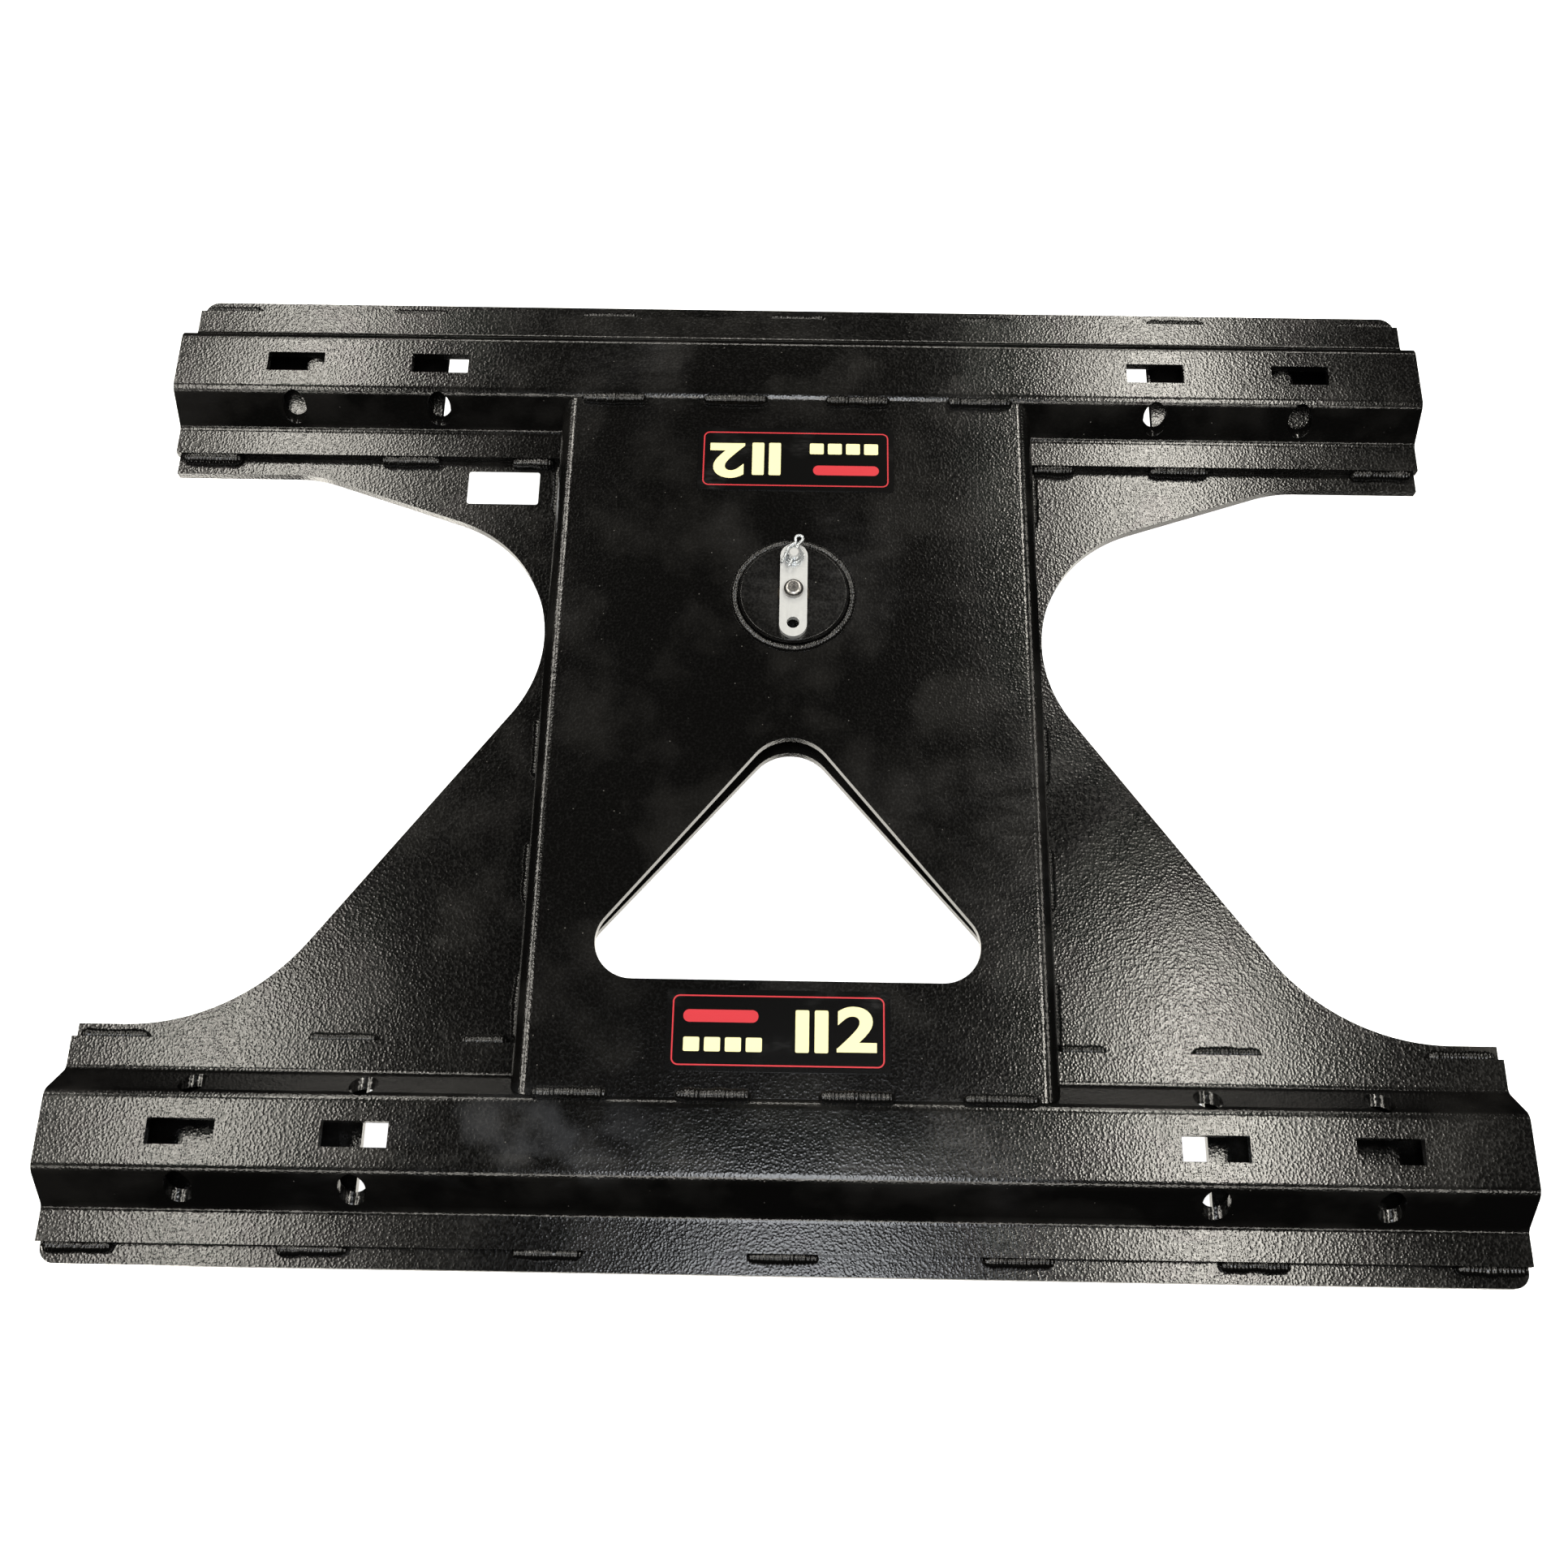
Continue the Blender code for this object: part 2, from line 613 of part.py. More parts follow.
# ---------------------------------------------------------------- lock arm and what turns with it


def build_lock_arm():
    """A strip with a drive hole for the shaft and a hole near each end."""
    holes = [circle(ARM_HOLE / 2, (0, end * ARM_HOLE_RADIUS)) for end in (-1, 1)]
    drive = double_d(TANG_DIAMETER + 2 * GAP, TANG_FLATS + 2 * GAP)
    strip = rectangle(ARM_WIDTH, ARM_LENGTH, ARM_WIDTH / 2)
    arm = flat_solid("lock_arm", [strip, *holes, drive], ARM_BOTTOM, ARM_THICKNESS, "zinc")
    recess = cylinder(
        "arm_recess",
        STUD_HEAD / 2 + GAP,
        (0, ARM_HOLE_RADIUS, ARM_BOTTOM - GAP),
        (0, ARM_HOLE_RADIUS, ARM_BOTTOM + STUD_HEAD_HEIGHT + GAP),
    )
    at_post(recess)
    combine(arm, recess)
    return arm


def build_lock_shaft():
    """A shaft with a two-flat tang at each end and a tapped hole in each tang."""
    shoulder = disc_profile(SHAFT_DIAMETER / 2, 0, SHAFT_SHOULDER, POST_TOP)
    shaft = turned("lock_shaft", shoulder, "ground_steel")
    tang = double_d(TANG_DIAMETER, TANG_FLATS)
    bottom = SHAFT_SHOULDER - CAM_TANG_DEPTH
    tangs = flat_solid("shaft_tangs", [tang], bottom, ARM_TOP - GAP - bottom)
    thread_top = ARM_TOP + GAP - SCREW_LENGTH
    screw_hole = cylinder("shaft_screw_hole", SCREW_THREAD / 2 + GAP, (0, 0, thread_top - GAP), (0, 0, ARM_TOP))
    cam_hole_top = CAM_BOTTOM + CAM_SCREW_LENGTH + GAP
    cam_hole = cylinder(
        "shaft_cam_hole", CAM_SCREW_THREAD / 2 + GAP, (0, 0, CAM_BOTTOM), (0, 0, cam_hole_top), segments=24
    )
    at_post(tangs, screw_hole, cam_hole)
    combine(shaft, tangs, "UNION")
    combine(shaft, screw_hole)
    combine(shaft, cam_hole)
    return shaft


def cam_slot():
    """The outline of one scroll slot: its radius falls by the throw over a quarter turn."""
    pitch = CAM_THROW / 90.0
    spare = math.degrees(CAM_SLOT_WIDTH / 2 / (FOLLOWER_RADIUS - CAM_THROW)) + CAM_SLOT_SPARE
    count = 24
    outer, inner = [], []
    for i in range(count + 1):
        angle = spare - (90.0 + 2 * spare) * i / count
        radius = FOLLOWER_RADIUS + pitch * angle
        ray = Vector((math.cos(math.radians(angle)), math.sin(math.radians(angle))))
        outer.append(tuple(ray * (radius + CAM_SLOT_WIDTH / 2)))
        inner.append(tuple(ray * (radius - CAM_SLOT_WIDTH / 2)))
    return outer + inner[::-1]


def build_lock_cam():
    """A disc with two scroll slots, a pocket for the shaft's tang and a countersunk screw hole."""
    outline = cam_slot()
    opposite = [(-x, -y) for x, y in outline]
    screw_hole = circle(CAM_SCREW_THREAD / 2 + GAP)
    rim = circle(CAM_RADIUS)
    cam = flat_solid("lock_cam", [rim, outline, opposite, screw_hole], CAM_BOTTOM, CAM_THICKNESS, "ground_steel")
    pocket_bottom = SHAFT_SHOULDER - CAM_TANG_DEPTH - GAP
    tang = double_d(TANG_DIAMETER + 2 * GAP, TANG_FLATS + 2 * GAP)
    pocket = flat_solid("cam_pocket", [tang], pocket_bottom, 2 * CAM_THICKNESS)
    head, thread = CAM_SCREW_HEAD / 2 + GAP, CAM_SCREW_THREAD / 2 + GAP
    sink = [
        (0, CAM_BOTTOM + CAM_SCREW_HEAD_HEIGHT + GAP),
        (thread, CAM_BOTTOM + CAM_SCREW_HEAD_HEIGHT + GAP),
        (head, CAM_BOTTOM + GAP),
        (head, CAM_BOTTOM - SHEET),
        (0, CAM_BOTTOM - SHEET),
    ]
    countersink = turned("cam_countersink", sink, segments=32)
    at_post(pocket, countersink)
    combine(cam, pocket)
    combine(cam, countersink)
    return cam


def build_screws():
    """The button-head screw on the arm and the countersunk screw under the cam."""
    seat = ARM_TOP + GAP
    dome_rise = SCREW_HEAD_HEIGHT * 0.8
    land = HEX_SOCKET * 0.72
    reach = SCREW_HEAD / 2 - land
    lip = seat + SCREW_HEAD_HEIGHT - dome_rise
    dome = [(land + x, lip + y * dome_rise / reach) for x, y in arc((0, 0), reach, 90, 0)]
    profile = [(0, seat + SCREW_HEAD_HEIGHT), *dome, (SCREW_HEAD / 2, seat)]
    profile += [(SCREW_THREAD / 2, seat), (SCREW_THREAD / 2, seat - SCREW_LENGTH), (0, seat - SCREW_LENGTH)]
    arm_screw = turned("arm_screw", profile, "dark_steel", segments=40)
    socket = cylinder(
        "arm_screw_socket",
        HEX_SOCKET / 2 / math.cos(math.radians(30)),
        (0, 0, seat + SCREW_HEAD_HEIGHT - HEX_DEPTH),
        (0, 0, seat + 2 * SCREW_HEAD_HEIGHT),
        segments=6,
    )
    at_post(socket)
    combine(arm_screw, socket)

    bottom = CAM_BOTTOM
    thread = CAM_SCREW_THREAD / 2
    sunk = [
        (0, bottom + CAM_SCREW_LENGTH),
        (thread, bottom + CAM_SCREW_LENGTH),
        (thread, bottom + CAM_SCREW_HEAD_HEIGHT),
        (CAM_SCREW_HEAD / 2, bottom),
        (0, bottom),
    ]
    cam_screw = turned("cam_screw", sunk, "dark_steel", segments=32)
    return arm_screw, cam_screw


def build_stud():
    """The stud in the arm's outer hole, cross-drilled for the clip, and its washer."""
    radius = STUD_DIAMETER / 2
    head_bottom = ARM_BOTTOM + GAP / 2
    head_top = head_bottom + STUD_HEAD_HEIGHT
    chamfer = radius / 4
    profile = [
        (0, STUD_TOP),
        (radius - chamfer, STUD_TOP),
        (radius, STUD_TOP - chamfer),
        (radius, head_top),
        (STUD_HEAD / 2, head_top),
        (STUD_HEAD / 2, head_bottom),
        (0, head_bottom),
    ]
    stud = turned("arm_stud", profile, "zinc", segments=32)
    angle = math.radians(CLIP_ANGLE)
    along = Vector((math.sin(angle), math.cos(angle), 0)) * STUD_DIAMETER
    middle = Vector((0, STUD_Y, CLIP_Z))
    cross = cylinder("stud_cross_hole", CLIP_WIRE / 2 + GAP, middle - along, middle + along, segments=20)
    combine(stud, cross)
    washer = turned(
        "stud_washer",
        disc_profile(WASHER_DIAMETER / 2, radius + GAP, WASHER_BOTTOM, WASHER_BOTTOM + WASHER_THICKNESS),
        "zinc",
        segments=36,
    )
    for piece in (stud, washer):
        piece.location.y = ARM_HOLE_RADIUS
    return stud, washer


def build_clip():
    """A hairpin clip: straight leg through the stud, round eye, free leg around the stud's side."""
    eye = CLIP_EYE_RADIUS
    neck_start, neck_end = CLIP_EYE_PLACE - eye * 1.2, STUD_DIAMETER / 2 + CLIP_WIRE
    neck = CLIP_WIRE + GAP
    route = [(0.0, -CLIP_TAIL), (0.0, neck_start)]
    route += [(x - eye * 0.5, y + CLIP_EYE_PLACE) for x, y in arc((0, 0), eye, -20, 200)]
    route.append((-neck, neck_start))
    steps = 10
    swing = CLIP_CLEAR - neck
    for i in range(1, steps + 1):
        share = i / steps
        ease = share * share * (3 - 2 * share)
        route.append((-neck - swing * ease, neck_start + (neck_end - neck_start) * share))
    route += [(-CLIP_CLEAR, -CLIP_TAIL / 2), (-CLIP_CLEAR - CLIP_WIRE / 4, -CLIP_TAIL)]
    curve = bpy.data.curves.new("retaining_clip", "CURVE")
    curve.dimensions = "3D"
    curve.bevel_depth = CLIP_WIRE / 2
    curve.bevel_resolution = 2
    curve.use_fill_caps = True
    spline = curve.splines.new("POLY")
    spline.points.add(len(route) - 1)
    for point, (x, y) in zip(spline.points, route):
        point.co = (x, y, 0, 1)
    return solid_from_curve("retaining_clip", curve, 0.0, "zinc")


# ---------------------------------------------------------------- plungers


def build_plunger(name, side):
    """A round bolt with a chamfered nose and a cross hole for its follower pin."""
    radius = PLUNGER_DIAMETER / 2
    tip = POST_RADIUS + PLUNGER_REACH
    profile = [
        (0, tip),
        (radius - PLUNGER_CHAMFER, tip),
        (radius, tip - PLUNGER_CHAMFER),
        (radius, tip - PLUNGER_LENGTH),
        (0, tip - PLUNGER_LENGTH),
    ]
    plunger = turned(f"plunger_{name}", profile, "ground_steel", segments=40)
    plunger.rotation_euler.y = side * math.radians(90)
    pin_bottom = CAM_BOTTOM + CAM_THICKNESS * 0.8 - FOLLOWER_LENGTH
    pin_x = side * FOLLOWER_RADIUS
    hole_radius = FOLLOWER_DIAMETER / 2 + GAP
    hole = cylinder(
        f"plunger_{name}_hole",
        hole_radius,
        (pin_x, 0, pin_bottom - GAP - PLUNGER_Z),
        (pin_x, 0, PLUNGER_DIAMETER),
        segments=28,
    )
    hole.location = (0, POST_Y, PLUNGER_Z)
    combine(plunger, hole)
    pin = cylinder(
        f"follower_{name}",
        FOLLOWER_DIAMETER / 2,
        (pin_x, 0, pin_bottom - PLUNGER_Z),
        (pin_x, 0, pin_bottom + FOLLOWER_LENGTH - PLUNGER_Z),
        "ground_steel",
        segments=28,
    )
    carry(axis_empty(f"plunger_{name}_axis", (0, POST_Y, PLUNGER_Z)), plunger, pin)


# ---------------------------------------------------------------- stickers


def build_stickers():
    """Two rating decals on the cover and a small label on the plate."""
    decals = {
        "front_decal": (0, RAIL_SPACING / 2 - FRONT_DECAL_TO_RAIL),
        "rear_decal": (REAR_DECAL_SHIFT, REAR_DECAL_TO_RAIL - RAIL_SPACING / 2),
    }
    for name, centre in decals.items():
        outline = rectangle(DECAL_LENGTH, DECAL_WIDTH, DECAL_CORNER, centre)
        flat_solid(name, [outline], COVER_TOP + GAP, STICKER, "black_decal")
    place = (-COVER_WIDTH / 2 - LABEL_TO_COVER, RAIL_SPACING / 2 - LABEL_TO_RAIL)
    outline = rectangle(LABEL_LENGTH, LABEL_WIDTH, LABEL_CORNER, place)
    flat_solid("side_label", [outline], PLATE_TOP + GAP, STICKER, "white_label")


# ---------------------------------------------------------------- assembly


def main():
    build_base_plate()
    build_rail("rear_rail", -1)
    build_rail("front_rail", 1)
    build_center_cover()
    build_post()
    build_bushes()
    build_post_cover()
    build_stickers()

    arm_axis = axis_empty("lock_arm_axis", (0, POST_Y, 0))
    carry(arm_axis, build_lock_arm(), build_lock_shaft(), build_lock_cam(), *build_screws(), *build_stud())
    clip_axis = axis_empty("clip_axis", (0, ARM_HOLE_RADIUS, CLIP_Z), arm_axis)
    clip_axis.rotation_euler.z = -math.radians(CLIP_ANGLE)
    carry(clip_axis, build_clip())
    build_plunger("left", -1)
    build_plunger("right", 1)


main()
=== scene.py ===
"""Looks of the fifth-wheel rail base: black coat, weld beads, zinc lock arm, stickers and studio.

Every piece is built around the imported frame. The coated sheet pieces are bevelled copies of the
frame's own nodes, the welds are beads grown by Geometry Nodes along the joints that they close,
and the clip, the stickers and the studio are modelled here.
"""

from __future__ import annotations

import json
import logging
import math
from collections.abc import Callable, Iterable, Sequence
from dataclasses import dataclass, field
from enum import Enum

import bmesh
import bpy
from mathutils import Matrix, Vector

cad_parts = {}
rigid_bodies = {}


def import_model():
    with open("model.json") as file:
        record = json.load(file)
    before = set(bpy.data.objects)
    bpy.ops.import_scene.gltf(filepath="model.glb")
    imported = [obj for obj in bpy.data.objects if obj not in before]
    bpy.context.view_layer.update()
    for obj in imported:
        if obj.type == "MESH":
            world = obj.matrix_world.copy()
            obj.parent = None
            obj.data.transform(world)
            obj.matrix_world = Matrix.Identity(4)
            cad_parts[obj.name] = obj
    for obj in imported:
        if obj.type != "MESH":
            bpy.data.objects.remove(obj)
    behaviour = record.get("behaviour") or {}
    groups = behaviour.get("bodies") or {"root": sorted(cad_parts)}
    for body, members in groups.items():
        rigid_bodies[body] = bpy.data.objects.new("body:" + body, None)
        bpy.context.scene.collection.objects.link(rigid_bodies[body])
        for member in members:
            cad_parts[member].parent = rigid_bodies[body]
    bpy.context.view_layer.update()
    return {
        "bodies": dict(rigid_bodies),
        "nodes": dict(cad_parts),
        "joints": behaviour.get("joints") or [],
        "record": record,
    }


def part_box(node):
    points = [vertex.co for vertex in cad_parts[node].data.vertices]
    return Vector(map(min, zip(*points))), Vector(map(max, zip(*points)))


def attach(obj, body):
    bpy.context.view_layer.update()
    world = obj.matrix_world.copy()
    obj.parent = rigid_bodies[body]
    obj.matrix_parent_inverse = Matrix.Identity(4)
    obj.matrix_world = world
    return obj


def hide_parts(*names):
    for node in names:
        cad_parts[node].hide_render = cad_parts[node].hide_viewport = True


LOG = logging.getLogger("rail_base")
MERGE = 0.000001
MM = 0.001

Point = tuple[float, float]
Colour = tuple[float, float, float]


# ---------------------------------------------------------------- node graphs


class Graph:
    """A node tree being written: it adds nodes, sets their inputs and links them."""

    def __init__(self, tree: bpy.types.NodeTree) -> None:
        """Start on a tree.

        Args:
            tree: the shader or geometry node tree to write into.
        """
        self.tree = tree

    def add(self, kind: str, inputs: dict | None = None, **settings: object) -> bpy.types.Node:
        """Add one node.

        Args:
            kind: the node's type name.
            inputs: input name or number to a constant, or to the socket that feeds it.
            **settings: the node's own properties.

        Returns:
            The new node.
        """
        node = self.tree.nodes.new(kind)
        for name, value in settings.items():
            setattr(node, name, value)
        for key, value in (inputs or {}).items():
            if isinstance(value, bpy.types.NodeSocket):
                self.tree.links.new(value, node.inputs[key])
            else:
                node.inputs[key].default_value = value
        return node

    def math(self, operation: str, *values: object, clamp: bool = False) -> bpy.types.NodeSocket:
        """Add a Math node and return its value."""
        node = self.add("ShaderNodeMath", dict(enumerate(values)), operation=operation, use_clamp=clamp)
        return node.outputs[0]

    def vector(self, operation: str, *values: object) -> bpy.types.NodeSocket:
        """Add a Vector Math node and return its vector."""
        node = self.add("ShaderNodeVectorMath", dict(enumerate(values)), operation=operation)
        return node.outputs[0]

    def remap(self, value: object, low: float, high: float, to_low: float, to_high: float) -> bpy.types.NodeSocket:
        """Map a value from one span to another, clamped."""
        inputs = {0: value, 1: low, 2: high, 3: to_low, 4: to_high}
        return self.add("ShaderNodeMapRange", inputs).outputs[0]

    def noise(self, vector: object, scale: object, detail: float = 2.0, **settings: object) -> bpy.types.Node:
        """Add a Noise Texture node."""
        inputs = {"Vector": vector, "Scale": scale, "Detail": detail}
        return self.add("ShaderNodeTexNoise", inputs, **settings)


def new_group(name: str, kind: str, inputs: Sequence[tuple], outputs: Sequence[tuple]) -> tuple[Graph, dict, dict]:
    """Make a node group with named sockets.

    Args:
        name: the group's name.
        kind: the tree type, for shading or for geometry.
        inputs: (name, socket type, default or None) rows.
        outputs: (name, socket type) rows.

    Returns:
        Its graph, the group-input sockets by name and the group-output sockets by name.
    """
    tree = bpy.data.node_groups.new(name, kind)
    for label, socket_type, default in inputs:
        socket = tree.interface.new_socket(label, in_out="INPUT", socket_type=socket_type)
        if default is not None:
            socket.default_value = default
    for label, socket_type in outputs:
        tree.interface.new_socket(label, in_out="OUTPUT", socket_type=socket_type)
    source, sink = tree.nodes.new("NodeGroupInput"), tree.nodes.new("NodeGroupOutput")
    given = {socket.name: socket for socket in source.outputs if socket.name}
    wanted = {socket.name: socket for socket in sink.inputs if socket.name}
    return Graph(tree), given, wanted


FLOAT, VECTOR = "NodeSocketFloat", "NodeSocketVector"


class Effects:
    """Shader node groups that more than one finish uses. They put out masks and heights only."""

    @staticmethod
    def coat_grain() -> bpy.types.NodeTree:
        """The wrinkle of a thick powder coat: rounded cells pulled into short worms.

        Returns:
            A group with Height, Hollow and Cloud outputs.
        """
        graph, given, wanted = new_group(
            "coat_grain",
            "ShaderNodeTree",
            [("Vector", VECTOR, None), ("Cells", FLOAT, 420.0), ("Stretch", FLOAT, 0.14), ("Fine", FLOAT, 0.25)],
            [("Height", FLOAT), ("Hollow", FLOAT), ("Cloud", FLOAT)],
        )
        place = given["Vector"]
        drift = graph.noise(place, graph.math("MULTIPLY", given["Cells"], 0.6), 1.0)
        push = graph.vector("SCALE", graph.vector("SUBTRACT", drift.outputs["Color"], (0.5, 0.5, 0.5)))
        reach = graph.math("DIVIDE", given["Stretch"], graph.math("MULTIPLY", given["Cells"], 0.25))
        graph.tree.links.new(reach, push.node.inputs["Scale"])
        bent = graph.vector("ADD", place, push)
        cells = graph.add(
            "ShaderNodeTexVoronoi",
            {"Vector": bent, "Scale": given["Cells"], "Smoothness": 0.7},
            feature="SMOOTH_F1",
        )
        dome = graph.remap(cells.outputs["Distance"], 0.05, 0.75, 1.0, 0.0)
        ripple = graph.noise(bent, graph.math("MULTIPLY", given["Cells"], 1.7), 2.0).outputs["Fac"]
        height = graph.math("MULTIPLY_ADD", graph.math("SUBTRACT", ripple, 0.5), given["Fine"], dome)
        graph.tree.links.new(height, wanted["Height"])
        graph.tree.links.new(graph.math("SUBTRACT", 1.0, dome, clamp=True), wanted["Hollow"])
        cloud = graph.noise(place, graph.math("MULTIPLY", given["Cells"], 0.03), 4.0).outputs["Fac"]
        graph.tree.links.new(graph.remap(cloud, 0.35, 0.68, 0.0, 1.0), wanted["Cloud"])
        return graph.tree

    @staticmethod
    def handling_marks() -> bpy.types.NodeTree:
        """Faint dry smears left by handling, and sparse small specks: dust on the stickers, painted glints on the
        coat.

        Returns:
            A group with Smear and Speck outputs.
        """
        graph, given, wanted = new_group(
            "handling_marks",
            "ShaderNodeTree",
            [
                ("Vector", VECTOR, None),
                ("Scale", FLOAT, 9.0),
                ("Amount", FLOAT, 0.5),
                ("Hand Place", VECTOR, (-0.155, -0.281, 0.038)),
                ("Hand Reach", VECTOR, (0.095, 0.036, 0.060)),
            ],
            [("Smear", FLOAT), ("Speck", FLOAT), ("Hand", FLOAT)],
        )
        broad = graph.noise(given["Vector"], given["Scale"], 3.0, noise_dimensions="3D").outputs["Fac"]
        drawn = graph.vector("MULTIPLY", given["Vector"], (1.0, 3.5, 2.0))
        streak = graph.noise(drawn, graph.math("MULTIPLY", given["Scale"], 5.0), 4.0).outputs["Fac"]
        patch = graph.remap(broad, 0.56, 0.74, 0.0, 1.0)
        smear = graph.math("MULTIPLY", patch, graph.remap(streak, 0.35, 0.75, 0.1, 1.0))
        graph.tree.links.new(graph.math("MULTIPLY", smear, given["Amount"], clamp=True), wanted["Smear"])
        aside = graph.vector("SUBTRACT", given["Vector"], given["Hand Place"])
        apart = graph.vector("DIVIDE", aside, given["Hand Reach"])
        span = graph.add("ShaderNodeVectorMath", {0: apart}, operation="LENGTH").outputs["Value"]
        palm = graph.remap(graph.noise(given["Vector"], 42.0, 3.0).outputs["Fac"], 0.46, 0.66, 0.0, 1.0)
        graph.tree.links.new(graph.math("MULTIPLY", graph.remap(span, 0.4, 1.0, 1.0, 0.0), palm), wanted["Hand"])
        # Sparse small specks: dust where the stickers use them, painted glints where the coat mixes them in bright.
        specks = graph.add(
            "ShaderNodeTexVoronoi", {"Vector": given["Vector"], "Scale": 260.0, "Randomness": 1.0}, feature="F1"
        )
        dot = graph.remap(specks.outputs["Distance"], 0.07, 0.14, 1.0, 0.0)
        chance = graph.add("ShaderNodeSeparateColor", {0: specks.outputs["Color"]}).outputs[0]
        rare = graph.remap(chance, 0.95, 0.96, 0.0, 1.0)
        speck = graph.math("MULTIPLY", graph.math("MULTIPLY", dot, rare), given["Amount"], clamp=True)
        graph.tree.links.new(speck, wanted["Speck"])
        return graph.tree

    @staticmethod
    def metal_marks() -> bpy.types.NodeTree:
        """Brush lines, spangle and small scratches of bare or plated steel.

        Returns:
            A group with Line, Spangle and Scratch outputs.
        """
        graph, given, wanted = new_group(
            "metal_marks",
            "ShaderNodeTree",
            [("Vector", VECTOR, None), ("Across", FLOAT, 1400.0), ("Along", FLOAT, 60.0), ("Grains", FLOAT, 500.0)],
            [("Line", FLOAT), ("Spangle", FLOAT), ("Scratch", FLOAT)],
        )
        spread = graph.add("ShaderNodeCombineXYZ", {0: given["Across"], 1: given["Along"], 2: given["Across"]})
        line = graph.noise(graph.vector("MULTIPLY", given["Vector"], spread.outputs[0]), 1.0, 3.0)
        graph.tree.links.new(line.outputs["Fac"], wanted["Line"])
        grains = graph.add("ShaderNodeTexVoronoi", {"Vector": given["Vector"], "Scale": given["Grains"]})
        shade = graph.add("ShaderNodeSeparateColor", {0: grains.outputs["Color"]})
        graph.tree.links.new(shade.outputs[0], wanted["Spangle"])
        tilted = graph.add(
            "ShaderNodeMapping",
            {"Vector": given["Vector"], "Rotation": (0.0, 0.0, 0.6), "Scale": (90.0, 900.0, 300.0)},
        )
        cuts = graph.noise(tilted.outputs[0], 1.0, 1.0).outputs["Fac"]
        graph.tree.links.new(graph.remap(cuts, 0.70, 0.76, 0.0, 1.0), wanted["Scratch"])
        return graph.tree


# ---------------------------------------------------------------- finishes


def start_material(
    name: str,
) -> tuple[bpy.types.Material, Graph, bpy.types.Node, bpy.types.NodeSocket]:
    """Make an empty material.

    Args:
        name: the material's name.

    Returns:
        The material, its graph, its Principled BSDF and its object coordinates.
    """
    material = bpy.data.materials.new(name)
    material.use_nodes = True
    graph = Graph(material.node_tree)
    place = graph.add("ShaderNodeTexCoord").outputs["Object"]
    return material, graph, material.node_tree.nodes["Principled BSDF"], place


def use_group(graph: Graph, tree: bpy.types.NodeTree, inputs: dict) -> bpy.types.Node:
    """Place a shader node group in a graph, with its inputs set.

    Args:
        graph: the material's graph.
        tree: the shared group.
        inputs: input name to a constant, or to the socket that feeds it.

    Returns:
        The group's node.
    """
    node = graph.tree.nodes.new("ShaderNodeGroup")
    node.node_tree = tree
    for name, value in inputs.items():
        if isinstance(value, bpy.types.NodeSocket):
            graph.tree.links.new(value, node.inputs[name])
        else:
            node.inputs[name].default_value = value
    return node


def mix_colour(graph: Graph, share: object, first: object, second: object) -> bpy.types.NodeSocket:
    """Mix two colours by a share.

    Args:
        graph: the material's graph.
        share: how much of the second colour, a number or a socket.
        first: a colour or a socket.
        second: a colour or a socket.

    Returns:
        The mixed colour's socket.
    """
    node = graph.add("ShaderNodeMix", data_type="RGBA")
    for socket, value in ((node.inputs[0], share), (node.inputs[6], first), (node.inputs[7], second)):
        if isinstance(value, bpy.types.NodeSocket):
            graph.tree.links.new(value, socket)
        else:
            socket.default_value = value if isinstance(value, float) else (*value[:3], 1.0)
    return node.outputs[2]


@dataclass(frozen=True)
class PowderCoat:
    """Black wrinkle powder coat on steel."""

    name: str
    colour: Colour = (0.0022, 0.0021, 0.0020)
    worn_colour: Colour = (0.032, 0.032, 0.034)
    roughness: float = 0.10
    cells: float = 630.0
    grain_depth: float = 0.075 * MM
    grain_strength: float = 1.0
    marks: float = 0.42

    def build(self, effects: dict[str, bpy.types.NodeTree]) -> bpy.types.Material:
        """Build the material from the shared effects.

        Args:
            effects: the shared node groups by name.

        Returns:
            The finished material.
        """
        material, graph, shader, place = start_material(self.name)
        grain = use_group(graph, effects["coat_grain"], {"Vector": place, "Cells": self.cells})
        marks = use_group(graph, effects["handling_marks"], {"Vector": place, "Amount": self.marks})
        edge = graph.add("ShaderNodeAttribute", attribute_name="edge_wear").outputs["Fac"]
        rubbed = graph.math("MULTIPLY", edge, graph.remap(grain.outputs["Cloud"], 0.4, 0.9, 0.0, 0.5))
        shade = mix_colour(graph, graph.math("MULTIPLY", marks.outputs["Smear"], 0.5), self.colour, self.worn_colour)
        shade = mix_colour(graph, graph.math("MULTIPLY", marks.outputs["Hand"], 0.38), shade, (0.046, 0.048, 0.053))
        shade = mix_colour(graph, rubbed, shade, (0.05, 0.048, 0.045))
        # Painted glints: sparse bright specks in the base colour stand in for light caught by the coat's steepest
        # peaks.
        shade = mix_colour(graph, graph.math("MULTIPLY", marks.outputs["Speck"], 0.7), shade, (0.30, 0.29, 0.27))
        graph.tree.links.new(shade, shader.inputs["Base Color"])
        gloss = graph.math("MULTIPLY_ADD", grain.outputs["Hollow"], 0.14, self.roughness - 0.04)
        gloss = graph.math("MULTIPLY_ADD", marks.outputs["Smear"], 0.12, gloss)
        gloss = graph.math("MULTIPLY_ADD", grain.outputs["Cloud"], 0.025, gloss, clamp=True)
        graph.tree.links.new(gloss, shader.inputs["Roughness"])
        bump = graph.add(
            "ShaderNodeBump",
            {"Strength": self.grain_strength, "Distance": self.grain_depth, "Height": grain.outputs["Height"]},
        )
        graph.tree.links.new(bump.outputs[0], shader.inputs["Normal"])
        shader.inputs["Specular IOR Level"].default_value = 0.5
        return material


